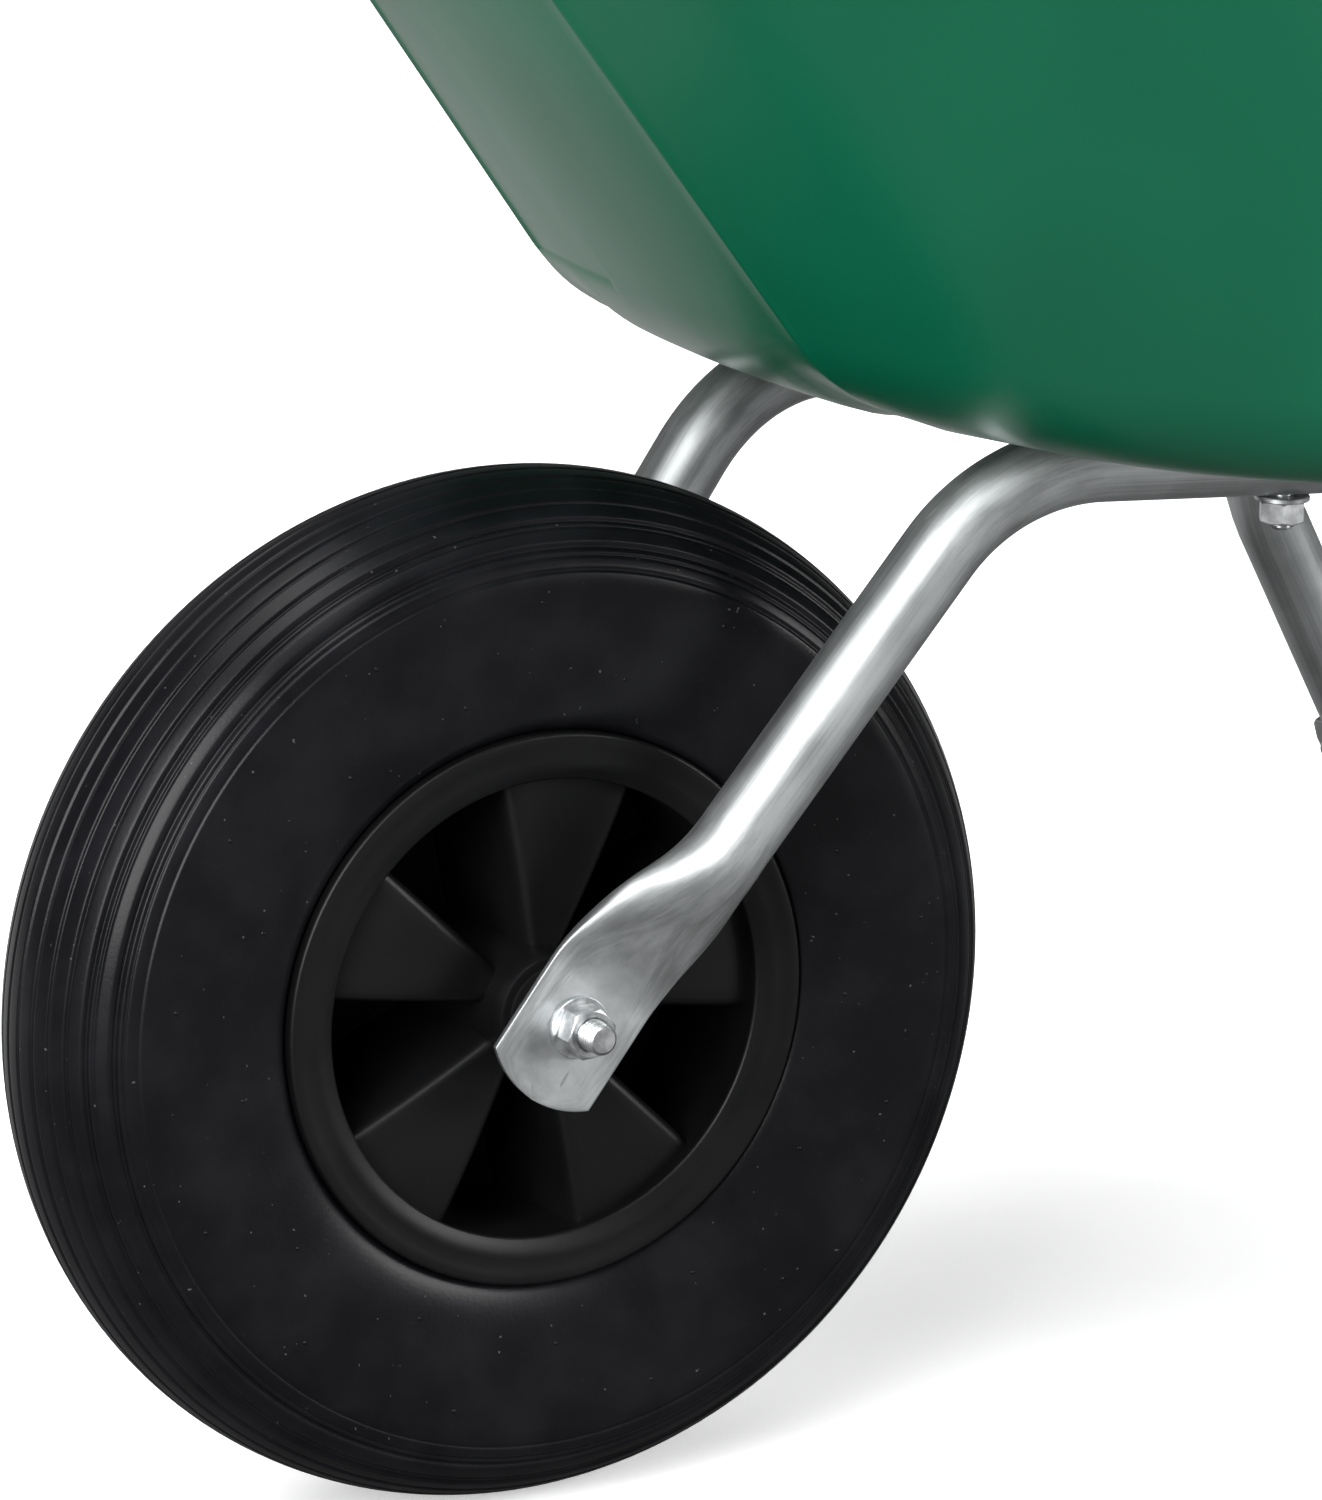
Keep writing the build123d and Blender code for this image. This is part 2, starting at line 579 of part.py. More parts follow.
# ---- the nodes ----------------------------------------------------------------------------
def build():
    """Every node by name, drawn from the axle's centre."""
    left_tube, left_leg, left_grip, left_bush = main_tube(), leg(), grip(), hub_bush()
    return {
        "tray": tray(),
        "main_tube_left": left_tube,
        "main_tube_right": mirrored(left_tube),
        "leg_left": left_leg,
        "leg_right": mirrored(left_leg),
        "leg_brace": leg_brace(),
        "brace_bolts": both(brace_fastener("bolt")),
        "brace_nuts": both(brace_fastener("nut")),
        "grip_left": left_grip,
        "grip_right": mirrored(left_grip),
        "tray_bolts": tray_fasteners("bolt"),
        "tray_washers": tray_fasteners("inner"),
        "tube_washers": tray_fasteners("tube"),
        "tray_nuts": tray_fasteners("nut"),
        "tyre": tyre(),
        "inner_tube": inner_tube(),
        "rim": rim(),
        "hub_bush_left": left_bush,
        "hub_bush_right": mirrored(left_bush),
        "valve_stem": valve_stem(),
        "valve_cap": valve_cap(),
        "axle": axle(),
        "axle_spacers": both(axle_spacer()),
        "axle_washers": both(axle_washer()),
        "axle_nuts": both(axle_nut()),
    }


def main():
    os.makedirs("parts", exist_ok=True)
    place = Location((AXLE_X, 0, WHEEL_R))
    for name, shape in build().items():
        export_step(place * shape, f"parts/{name}.step")


main()
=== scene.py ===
"""Looks of a garden wheelbarrow, laid out as an add-on: one operator for each group of pieces.

Shapes are drawn in millimetres from the axle's centre (+X ahead, +Y left, +Z up), as surfaces
worked out on grids, and are turned into metres where the CAD frame has its axle.
"""
import math

import bpy
import numpy as np
from mathutils import Matrix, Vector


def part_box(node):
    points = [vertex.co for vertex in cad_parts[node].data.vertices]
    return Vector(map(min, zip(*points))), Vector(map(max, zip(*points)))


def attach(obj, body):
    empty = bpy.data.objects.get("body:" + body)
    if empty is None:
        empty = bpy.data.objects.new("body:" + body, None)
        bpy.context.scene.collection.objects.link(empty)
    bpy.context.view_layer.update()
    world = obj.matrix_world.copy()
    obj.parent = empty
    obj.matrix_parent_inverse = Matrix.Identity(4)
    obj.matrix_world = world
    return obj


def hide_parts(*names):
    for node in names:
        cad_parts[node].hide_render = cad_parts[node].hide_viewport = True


bl_info = {
    "name": "Garden wheelbarrow",
    "version": (1, 0, 0),
    "blender": (4, 5, 0),
    "location": "View3D > Sidebar > Barrow",
    "description": "Builds the tray, tubes, legs, wheel, fasteners and stage round a CAD frame",
    "category": "Object",
}

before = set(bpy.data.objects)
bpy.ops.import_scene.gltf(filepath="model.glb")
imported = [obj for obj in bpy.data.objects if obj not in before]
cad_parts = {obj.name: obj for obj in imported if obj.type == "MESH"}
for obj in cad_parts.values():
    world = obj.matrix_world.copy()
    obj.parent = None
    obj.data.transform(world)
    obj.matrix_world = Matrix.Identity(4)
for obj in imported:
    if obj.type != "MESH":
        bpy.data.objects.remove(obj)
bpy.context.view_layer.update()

MM = 0.001
LOW, HIGH = (np.array(corner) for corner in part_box("axle"))
AXLE = (LOW + HIGH) / 2                      # the axle's centre, in metres
UP = np.array([0.0, 0.0, 1.0])
LEFT = np.array([0.0, 1.0, 0.0])

# ---- sizes that the CAD part is made to, in millimetres -----------------------------------
TUBE_R = 15.0
STRUT_FOOT = np.array([0, 79.3, 0])
SHOULDER = np.array([-160.5, 101.9, 202.7])
RUN_SPREAD = 0.18
RUN_FALL = 0.04
RUN_END_X = -750.0
HANDLE_KNEE = np.array([-975.0, 250.0, 345.0])
HANDLE_END = np.array([-1190.0, 278.0, 420.0])
BEND_RADII = (79.3, 110.0, 140.0)
PLATE_Y = (62.0, 65.5)
PLATE_HALF = 24.4
PLATE_REACH = 32.0
PLATE_END_R = 40.0
# Stretches along the strut, from the axle, in which the plate's thickness grows to the tube's,
# its width shrinks to the tube's, and its corners round off; then the place, length and height
# of the swelling that the pressed tube keeps on each edge.
THICK_STRETCH, WIDE_STRETCH, CORNER_STRETCH = (15.0, 85.0), (20.0, 90.0), (0.0, 56.0)
SWELLING = (55.0, 14.0, 2.2)
DENT = (52.0, 16.0, 8.0, 0.9)    # the outer face's trough: place, half length, half width, depth

TRAY_DEPTH = 275.0
TRAY_WALL = 4.0
RIM_BEAD_R = 8.0
# The front's creases: x and half distance as (value at the floor, step per mm of height).
CREASE_X, CREASE_HALF = (-100.1, 0.762), (107.7, -0.0723)
FRONT_BOW = 9.0                  # how far the front stands out between its creases
PANEL_LEAN = 0.0458              # panel edge's step aside per mm of height
PANEL_FOOT = 37.5                # height of the panel's lower edge
FACET_TURN, FACET_LENGTH = math.radians(20.3), (73.7, 0.0348)
REAR_X, REAR_SLOPE, REAR_CORNER = -690.0, math.radians(67), (95.0, 20 / 275)
SIDE_Y, SIDE_SLOPE = 290.0, math.radians(86)
FLOOR_MIDDLE_X = -390.0
# Radius of the rounding under the side walls, and what the front's and the rear's have more.
FOOT_R, FOOT_MORE = 50.0, (44.0, 10.0)
FOOT_EASE = 20.0                 # reach over which the walls' directions are averaged there
CHANNEL_DEPTH, CHANNEL_FROM = 3.0, (-250.0, -225.0)
TRAY_BOLT_X = (-272.0, -458.0, -612.0)
TRAY_BOLT_UNDER = (-30.0, -33.5, -33.5)      # underside of tube or tab at each bolt

LEG_TAB = 3.5
LEG_TOPS_X = (-405.0, -576.0)
LEG_FEET = ((-590.0, 184.0), (-632.0, 190.0))
GROUND_Z = -200.0
STRIP = (58.0, 24.0, 4.0)
FOOT_Z = GROUND_Z + STRIP[2] + TUBE_R - 1    # foot's centreline, let 1 mm into the strip
LEG_TAB_HALF = 18.0
LEG_BENDS = (9.0, 42.0, 24.0, 14.0)
LEG_TOP_PAST = 8.0                           # leg's centreline drawn on past its tab
BRACE_TAB = (1.5, 14.0)                      # half thickness and half height of its ends
BRACE_R, BRACE_AHEAD = 10.0, 3.0
GRIP_R, GRIP_LENGTH, GRIP_COVER = 17.2, 125.0, 121.0
GRIP_COLLAR = (22.4, 6.0)                    # radius and length

TYRE_HALF, TYRE_R = 46.0, 200.0
SHOULDER_DROP, SHOULDER_POWER = 36.2, 1.915  # tread's fall to the widest point, and its shape
BEAD_Y, WALL_DROP = 36.0, 56.6               # bead beside the middle, and its fall from there
WALL_POWERS = (0.75, 1.1)                    # sidewall's shape, aside and down
RIM_FACE_Y, RIM_WELL_Y = 42.3, 36.3
RIM_RING_R, RIM_SEAT_R, RIM_INSIDE_R = (88.7, 107.0), 101.6, 93.0
WEB_SECTORS, WEB_FIRST, WEB_WALL = 10, math.radians(-27), 3.2
WEB_DISH = 1.6                               # how far the web bows out between hub and barrel

AXLE_HALF = 87.0
WASHER_M10_T, BOLT_PAST_NUT = 2.0, 2.6
AXLE_WASHER = (12.0, 6.25, 2.5)              # outer and inner radius, thickness
# Nuts as width across flats, height and bore.
NUT_M12, NUT_M10, NUT_M8 = (18.0, 10.0, 12.0), (16.0, 8.4, 10.0), (13.0, 6.8, 8.0)


# ---- meshes from grids --------------------------------------------------------------------
def unit(vector):
    """Vector, or each row of vectors, divided by its length."""
    vector = np.asarray(vector, float)
    return vector / np.linalg.norm(vector, axis=-1, keepdims=True)


def smooth(value, low, high):
    """0 under low, 1 over high, and 3t^2 - 2t^3 between."""
    t = np.clip((np.asarray(value, float) - low) / (high - low), 0, 1)
    return t * t * (3 - 2 * t)


def signed_volume(points, quads):
    """Sum over the quads' triangles of a . (b x c) / 6: positive if faces point outwards."""
    a, b, c, d = (points[quads[:, k]] for k in range(4))
    return (np.einsum("ij,ij->", a, np.cross(b, c)) + np.einsum("ij,ij->", a, np.cross(c, d))) / 6


def grid_quads(rows, columns, around, ring):
    """Index grid (i, j) -> quad (i, j), (i, j+1), (i+1, j+1), (i+1, j), closed as asked."""
    i = np.arange(rows if ring else rows - 1)[:, None]
    j = np.arange(columns if around else columns - 1)[None, :]
    below, right = (i + 1) % rows, (j + 1) % columns
    corners = (i * columns + j, i * columns + right, below * columns + right, below * columns + j)
    return np.stack([np.broadcast_to(c, (i.size, j.size)) for c in corners], -1).reshape(-1, 4)


def skin(name, rows, around=True, ring=False, caps=True, sharp=35.0, flip=False, uv=None):
    """A mesh object through rows[i, j] in mm: closed round each row, and end to end if ring.

    Caps are fans to each end row's middle. uv is the pattern's size in metres round and along
    the surface; a corner's place is its column's and its row's share of that.
    """
    count, columns = rows.shape[:2]
    points = rows.reshape(-1, 3)
    quads = grid_quads(count, columns, around, ring)
    capped = around and caps and not ring
    if capped:
        ends = np.stack([rows[0].mean(0), rows[-1].mean(0)])
        points = np.vstack([points, ends])
        j = np.arange(columns)
        k = (j + 1) % columns
        first = np.stack([k, j, np.full(columns, count * columns)], -1)
        base = (count - 1) * columns
        last = np.stack([base + j, base + k, np.full(columns, count * columns + 1)], -1)
    if around and (ring or caps):
        closed = quads if not capped else np.vstack([
            quads, np.column_stack([first, first[:, 2]]), np.column_stack([last, last[:, 2]])])
        flip = signed_volume(points - points.mean(0), closed) < 0
    parts = [quads] + ([first, last] if capped else [])
    if flip:
        parts = [part[:, ::-1] for part in parts]
    mesh = bpy.data.meshes.new(name)
    listed = [face for part in parts for face in part.tolist()]
    mesh.from_pydata((points * MM + AXLE).tolist(), [], listed)
    if uv is not None:
        paint_map(mesh, count, columns, len(quads), uv, flip)
    mesh.polygons.foreach_set("use_smooth", np.ones(len(mesh.polygons), bool))
    mesh.set_sharp_from_angle(angle=math.radians(sharp))
    mesh.validate()
    mesh.update()
    piece = bpy.data.objects.new(name, mesh)
    bpy.context.scene.collection.objects.link(piece)
    return piece


def paint_map(mesh, count, columns, quads, size, flip):
    """UV map: column share times size[0], row share times size[1], with no jump at the seam."""
    i, j = np.divmod(np.arange(quads), columns)
    share = np.stack([np.stack([j, j + 1, j + 1, j], -1) / columns,
                      np.stack([i, i, i + 1, i + 1], -1) / max(1, count - 1)], -1)
    if flip:
        share = share[:, ::-1]
    place = np.zeros((len(mesh.loops), 2), np.float32)
    place[: quads * 4] = (share * np.array(size)).reshape(-1, 2)
    mesh.uv_layers.new(name="surface").data.foreach_set("uv", place.ravel())


def finish(piece, body, slot, material, *nodes):
    """Gives a piece its material and body, and hides the CAD nodes it stands for. slot is not used."""
    piece.data.materials.clear()
    piece.data.materials.append(material)
    if nodes:
        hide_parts(*nodes)
    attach(piece, body)
    return piece


def joined(name, pieces):
    """One object from several, with their meshes side by side."""
    with bpy.context.temp_override(active_object=pieces[0], selected_editable_objects=pieces):
        bpy.ops.object.join()
    pieces[0].name = name
    pieces[0].data.name = name
    return pieces[0]


def on_right(rows):
    """The same rows mirrored to the right side."""
    return rows * np.array([1, -1, 1])


def round_angles(steps):
    """Even angles round a whole turn."""
    return np.linspace(0, 2 * math.pi, steps, endpoint=False)


def lathe(radii, level, angle):
    """(r, z) at each angle as points r cos a, r sin a, z."""
    return np.stack([radii * np.cos(angle), radii * np.sin(angle), level + 0 * angle], -1)


def spin(profile, steps):
    """Surface of revolution round the axle: (y, r) -> (r sin a, y, r cos a) at even angles."""
    profile = np.asarray(profile, float)
    angle = round_angles(steps)
    y, r = profile[:, 0, None], profile[:, 1, None]
    return np.stack([r * np.sin(angle), y + 0 * angle, r * np.cos(angle)], -1)


def turned(profile, place, steps=48):
    """Revolution round a place's z axis: (r, z) -> r cos a, r sin a, z in its axes."""
    profile = np.asarray(profile, float)
    return place.out(lathe(profile[:, 0, None], profile[:, 1, None], round_angles(steps)))


class Place:
    """Axes at a point: local (x, y, z) -> origin + x X + y Y + z Z."""

    def __init__(self, origin, z, x):
        self.origin = np.asarray(origin, float)
        z = unit(z)
        x = unit(np.asarray(x, float) - np.dot(x, z) * z)
        self.axes = np.stack([x, np.cross(z, x), z])

    def out(self, local):
        return np.asarray(local, float) @ self.axes + self.origin


def bent_path(corners, radii, run_steps=26, arc_steps=22):
    """Points along straight runs joined by tangent arcs.

    An arc's point is its centre plus radius times (e1 cos a + e2 sin a), where e1 points to
    the arc's start, e2 along the run before it, and a goes from nothing to the whole turn.
    """
    corners = [np.asarray(c, float) for c in corners]
    stretches, last = [], corners[0]
    for before, corner, after, radius in zip(corners, corners[1:], corners[2:], radii):
        a, b = unit(before - corner), unit(after - corner)
        half = math.acos(np.clip(a @ b, -1, 1)) / 2
        start = corner + a * radius / math.tan(half)
        centre = corner + unit(a + b) * radius / math.sin(half)
        turn = np.linspace(0, math.pi - 2 * half, arc_steps)[:, None]
        arc = centre + unit(start - centre) * radius * np.cos(turn) - a * radius * np.sin(turn)
        run = np.linspace(0, 1, run_steps, endpoint=False)[:, None]
        stretches += [last + (start - last) * run, arc[:-1]]
        last = arc[-1]
    stretches.append(last + (corners[-1] - last) * np.linspace(0, 1, run_steps)[:, None])
    return np.vstack(stretches)


def along(path):
    """Length from the path's start to each of its points."""
    return np.concatenate([[0], np.cumsum(np.linalg.norm(np.diff(path, axis=0), axis=1))])


def resampled(path, places):
    """The path's points at given lengths from its start."""
    s = along(path)
    return np.stack([np.interp(places, s, path[:, k]) for k in range(3)], -1)


def carried(path, flat, wide, power, hint=LEFT, steps=48, shift=None):
    """A superellipse carried along a path.

    At each point the section's first axis is hint x tangent, with half size flat, and the
    second is tangent x first, with half size wide; a point at angle a stands at
    sign(c)|c|^(2/power) flat and sign(s)|s|^(2/power) wide, with c and s its cosine and sine.
    """
    tangent = unit(np.gradient(path, axis=0))
    first = unit(np.cross(hint, tangent))
    second = np.cross(tangent, first)
    angle = round_angles(steps)
    c, s = np.cos(angle), np.sin(angle)
    exponent = 2 / np.broadcast_to(power, (len(path),))[:, None]
    x = np.sign(c) * np.abs(c) ** exponent * np.asarray(flat)[:, None]
    y = np.sign(s) * np.abs(s) ** exponent * np.asarray(wide)[:, None]
    centre = path if shift is None else path + shift
    return centre[:, None] + x[..., None] * first[:, None] + y[..., None] * second[:, None]


# ---- materials ----------------------------------------------------------------------------
class Socket:
    """A value in a node tree. Arithmetic on it adds Math nodes."""

    def __init__(self, tree, socket):
        self.tree = tree
        self.socket = socket

    def maths(self, operation, *others, swap=False):
        node = self.tree.nodes.new("ShaderNodeMath")
        node.operation = operation
        values = (*others, self) if swap else (self, *others)
        for slot, value in zip(node.inputs, values):
            plug(self.tree, slot, value)
        return Socket(self.tree, node.outputs[0])

    def __add__(self, other):
        return self.maths("ADD", other)

    def __rsub__(self, other):
        return self.maths("SUBTRACT", other, swap=True)

    def __mul__(self, other):
        return self.maths("MULTIPLY", other)

    __radd__ = __add__
    __rmul__ = __mul__

    def ramp(self, low, high):
        """0 under low and 1 over high, smooth between."""
        node = self.tree.nodes.new("ShaderNodeMapRange")
        node.interpolation_type = "SMOOTHSTEP"
        for slot, value in zip(node.inputs, (self, low, high, 0.0, 1.0)):
            plug(self.tree, slot, value)
        return Socket(self.tree, node.outputs[0])


def plug(tree, slot, value):
    """Links a Socket into a node's input, or sets it to a number or colour."""
    if isinstance(value, Socket):
        tree.links.new(value.socket, slot)
    elif isinstance(value, (tuple, list)) and len(value) == 3 and slot.type == "RGBA":
        slot.default_value = (*value, 1.0)
    else:
        slot.default_value = value


class Finish:
    """A material with one Principled shader, and the means to build its pattern."""

    def __init__(self, name, colour, rough, **fixed):
        self.material = bpy.data.materials.new(name)
        self.material.use_nodes = True
        self.tree = self.material.node_tree
        self.shader = self.tree.nodes["Principled BSDF"]
        self.set("Base Color", tuple(colour))
        self.set("Roughness", rough)
        for key, value in fixed.items():
            self.set(key.replace("_", " ").title().replace("Ior", "IOR"), value)

    def set(self, slot, value):
        plug(self.tree, self.shader.inputs[slot], value)

    def node(self, kind, settings=None, output=0, **inputs):
        """Any other node: its settings first, then its sockets by name."""
        node = self.tree.nodes.new("ShaderNode" + kind)
        for key, value in (settings or {}).items():
            setattr(node, key, value)
        for key, value in inputs.items():
            plug(self.tree, node.inputs[key.replace("_", " ")], value)
        return Socket(self.tree, node.outputs[output])

    def place(self, scale, uv=False, centre=(0, 0, 0)):
        """Object or UV coordinates, taken from centre and scaled along each axis."""
        source = self.node("TexCoord", output=2 if uv else 3)
        at = tuple(-c * s for c, s in zip(centre, scale))
        return self.node("Mapping", Vector=source, Scale=tuple(scale), Location=at)

    def noise(self, scale, size=1.0, detail=3.0, rough=0.55, uv=False):
        """Fractal noise, with scale in features a metre along each axis."""
        spot = self.place(scale, uv)
        return self.node("TexNoise", Vector=spot, Scale=size, Detail=detail, Roughness=rough)

    def blend(self, mask, low, high):
        """The colour low where mask is 0 and high where it is 1."""
        node = self.tree.nodes.new("ShaderNodeMix")
        node.data_type = "RGBA"
        for slot, value in ((0, mask), (6, low), (7, high)):
            plug(self.tree, node.inputs[slot], value)
        return Socket(self.tree, node.outputs[2])

    def bump(self, height, depth, strength=1.0):
        """Relief of height times depth metres."""
        normal = self.node("Bump", Height=height, Distance=depth, Strength=strength)
        self.set("Normal", normal)


def srgb(red, green, blue):
    """Linear colour of a display colour in 0 to 255: ((c + 0.055) / 1.055) ^ 2.4."""
    share = np.array([red, green, blue]) / 255
    return tuple(np.where(share < 0.04045, share / 12.92, ((share + 0.055) / 1.055) ** 2.4).tolist())


def tray_plastic():
    look = bpy.context.scene.barrow
    finish_ = Finish("tray_plastic", look.tray_colour, 0.3, specular_ior_level=0.35,
                     coat_weight=0.06, coat_roughness=0.12)
    cloud = finish_.noise((4, 4, 4), detail=2)
    flow = finish_.noise((9, 30, 9), detail=4)
    deep = tuple(c * 0.9 for c in look.tray_colour)
    light = tuple(c * 1.12 + 0.001 for c in look.tray_colour)
    finish_.set("Base Color", finish_.blend(cloud.ramp(0.35, 0.65), deep, light))
    finish_.set("Roughness", 0.27 + flow * 0.08)
    grain = finish_.noise((900, 900, 900), detail=2)
    wave = finish_.noise((14, 14, 14), detail=1)
    finish_.bump(grain * 0.25 + wave * 6.0, 0.00006, 0.6)
    return finish_.material


def galvanised_steel():
    look = bpy.context.scene.barrow
    steel = Finish("galvanised_steel", look.steel_colour, 0.4, metallic=1.0)
    streak = steel.noise((140, 9, 1), detail=5, rough=0.65, uv=True)
    fine = steel.noise((900, 26, 1), detail=3, rough=0.6, uv=True)
    cloud = steel.noise((38, 38, 38), detail=4)
    scratch = steel.noise((2600, 18, 1), detail=1, uv=True).ramp(0.69, 0.74)
    tone = (streak * 0.45 + fine * 0.25 + cloud * 0.3).ramp(0.36, 0.62)
    dark = tuple(c * 0.72 for c in look.steel_colour)
    light = tuple(min(1.0, c * 1.14) for c in look.steel_colour)
    body = steel.blend(tone, dark, light)
    steel.set("Base Color", steel.blend(scratch * 0.5, body, tuple(c * 0.4 for c in look.steel_colour)))
    steel.set("Roughness", 0.34 + streak * 0.2 + cloud * 0.14)
    steel.bump(streak * 0.6 + fine * 0.3 + scratch * -0.5, 0.00012, 0.5)
    return steel.material


def bright_zinc():
    zinc = Finish("bright_zinc", srgb(205, 207, 208), 0.25, metallic=1.0)
    cloud = zinc.noise((160, 160, 160), detail=4)
    zinc.set("Base Color", zinc.blend(cloud.ramp(0.35, 0.65), srgb(176, 178, 180), srgb(222, 224, 225)))
    zinc.set("Roughness", 0.3 + cloud * 0.12)
    zinc.bump(zinc.noise((420, 420, 420), detail=2), 0.00002, 0.4)
    return zinc.material


def tyre_rubber():
    look = bpy.context.scene.barrow
    rubber = Finish("tyre_rubber", look.rubber_colour, 0.4, specular_ior_level=0.16)
    cloud = rubber.noise((30, 30, 30), detail=4)
    sheen = rubber.noise((7, 7, 7), detail=2)
    speck = rubber.noise((420, 420, 420), detail=1).ramp(0.77, 0.8)
    dusty = tuple(c * 1.7 + 0.002 for c in look.rubber_colour)
    body = rubber.blend(cloud.ramp(0.3, 0.75), look.rubber_colour[:], dusty)
    rubber.set("Base Color", rubber.blend(speck * 0.5, body, (0.12, 0.12, 0.12)))
    rubber.set("Roughness", 0.2 + sheen * 0.14 + cloud * 0.06)
    rubber.bump(rubber.noise((650, 650, 650), detail=3) + cloud * 1.5, 0.00008, 0.6)
    return rubber.material


def black_plastic(name, colour, rough, grain, depth):
    """Moulded black plastic: grain is features a metre, depth the relief in metres."""
    plastic = Finish(name, colour, rough, specular_ior_level=0.18)
    cloud = plastic.noise((22, 22, 22), detail=3)
    plastic.set("Base Color", plastic.blend(cloud.ramp(0.3, 0.7), colour, tuple(c * 1.4 for c in colour)))
    plastic.set("Roughness", rough - 0.05 + cloud * 0.1)
    plastic.bump(plastic.noise((grain,) * 3, detail=3), depth, 0.7)
    return plastic.material


def turned_brass():
    brass = Finish("turned_brass", srgb(190, 152, 84), 0.28, metallic=1.0)
    cloud = brass.noise((120, 120, 120), detail=4)
    brass.set("Base Color", brass.blend(cloud, srgb(160, 124, 62), srgb(206, 170, 100)))
    brass.set("Roughness", 0.22 + cloud * 0.16)
    brass.bump(brass.noise((1200, 1200, 1200)), 0.00003, 0.5)
    return brass.material


MADE = {}


def material(name):
    """Each material, made once."""
    makers = {
        "tray_plastic": tray_plastic,
        "galvanised_tube": galvanised_steel,
        "zinc_hardware": bright_zinc,
        "tyre_rubber": tyre_rubber,
        "rim_plastic": lambda: black_plastic("rim_plastic", srgb(12, 12, 13), 0.38, 900, 0.00005),
        "grip_plastic": lambda: black_plastic("grip_plastic", srgb(24, 24, 25), 0.55, 500, 0.0002),
        "cap_plastic": lambda: black_plastic("cap_plastic", srgb(22, 22, 22), 0.5, 700, 0.0001),
        "tube_rubber": lambda: black_plastic("tube_rubber", srgb(26, 26, 26), 0.7, 600, 0.0001),
        "bush_plastic": lambda: black_plastic("bush_plastic", srgb(18, 18, 18), 0.4, 900, 0.00004),
        "valve_brass": turned_brass,
    }
    if name not in MADE:
        MADE[name] = makers[name]()
    return MADE[name]


def dress(node, slot):
    """Gives a CAD node that stays its material."""
    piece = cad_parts[node]
    piece.data.materials.clear()
    piece.data.materials.append(material(slot))


# ---- tray ---------------------------------------------------------------------------------
TILT = math.atan(RUN_FALL)
TRAY_ORIGIN = SHOULDER[2] - RUN_FALL * SHOULDER[0] + TUBE_R / math.cos(TILT)
TRAY = Place((0, 0, TRAY_ORIGIN), (-math.sin(TILT), 0, math.cos(TILT)), (1, 0, RUN_FALL))


def run_y(x):
    """Half distance between the runs at x."""
    return SHOULDER[1] + RUN_SPREAD * (SHOULDER[0] - x)


def at_height(line, height):
    """Value of a line given as (value at the floor, step per mm of height)."""
    return line[0] + line[1] * height


def panel_line(height):
    """The panel edge's distance from the middle at a height."""
    return bpy.context.scene.barrow.panel_edge / MM + PANEL_LEAN * height


def tray_plan(height):
    """Left half of the tray's plan outline at a height, from the front's middle to the rear's.

    Front: x = crease + bow (1 - (y / crease's y)^2). Then a flat facet, an arc to the side,
    the straight side, an arc and the straight rear. Every point moves straight as it rises.
    """
    crease_x, crease_y = at_height(CREASE_X, height), at_height(CREASE_HALF, height)
    rear = REAR_X - height / math.tan(REAR_SLOPE)
    half = SIDE_Y + height / math.tan(SIDE_SLOPE)
    lean = FACET_TURN
    y = np.concatenate([[0, 10], panel_line(height) + np.array([-2.4, -0.7, 0.7, 2.4]),
                        np.linspace(48, crease_y - 9, 6), crease_y - np.array([1.6, 0])])
    front = np.stack([crease_x + FRONT_BOW * (1 - (y / crease_y) ** 2), y], -1)
    step = np.array([-math.sin(lean), math.cos(lean)])
    length = at_height(FACET_LENGTH, height)
    flat = front[-1] + length * np.array([0.02, 0.1, 0.3, 0.5, 0.7, 0.9, 0.98, 1])[:, None] * step
    radius = ((half - crease_y) / math.cos(lean) - length) / math.tan((math.pi / 2 - lean) / 2)
    centre = flat[-1] - radius * np.array([math.cos(lean), math.sin(lean)])
    turn = np.linspace(lean, math.pi / 2, 26)[1:]
    corner = centre + radius * np.stack([np.cos(turn), np.sin(turn)], -1)
    back = at_height(REAR_CORNER, height)
    side = np.stack([np.linspace(corner[-1, 0], rear + back, 14)[1:], np.full(13, half)], -1)
    turn = np.linspace(math.pi / 2, math.pi, 17)[1:]
    rear_arc = np.array([rear + back, half - back]) + back * np.stack([np.cos(turn), np.sin(turn)], -1)
    tail = np.stack([np.full(8, rear), np.linspace(half - back, 0, 9)[1:]], -1)
    return np.vstack([front, flat, corner, side, rear_arc, tail])


def tray_loop(height):
    """The whole outline: the left half and its mirror image."""
    half = tray_plan(height)
    return np.vstack([half, half[-2:0:-1] * np.array([1, -1])])


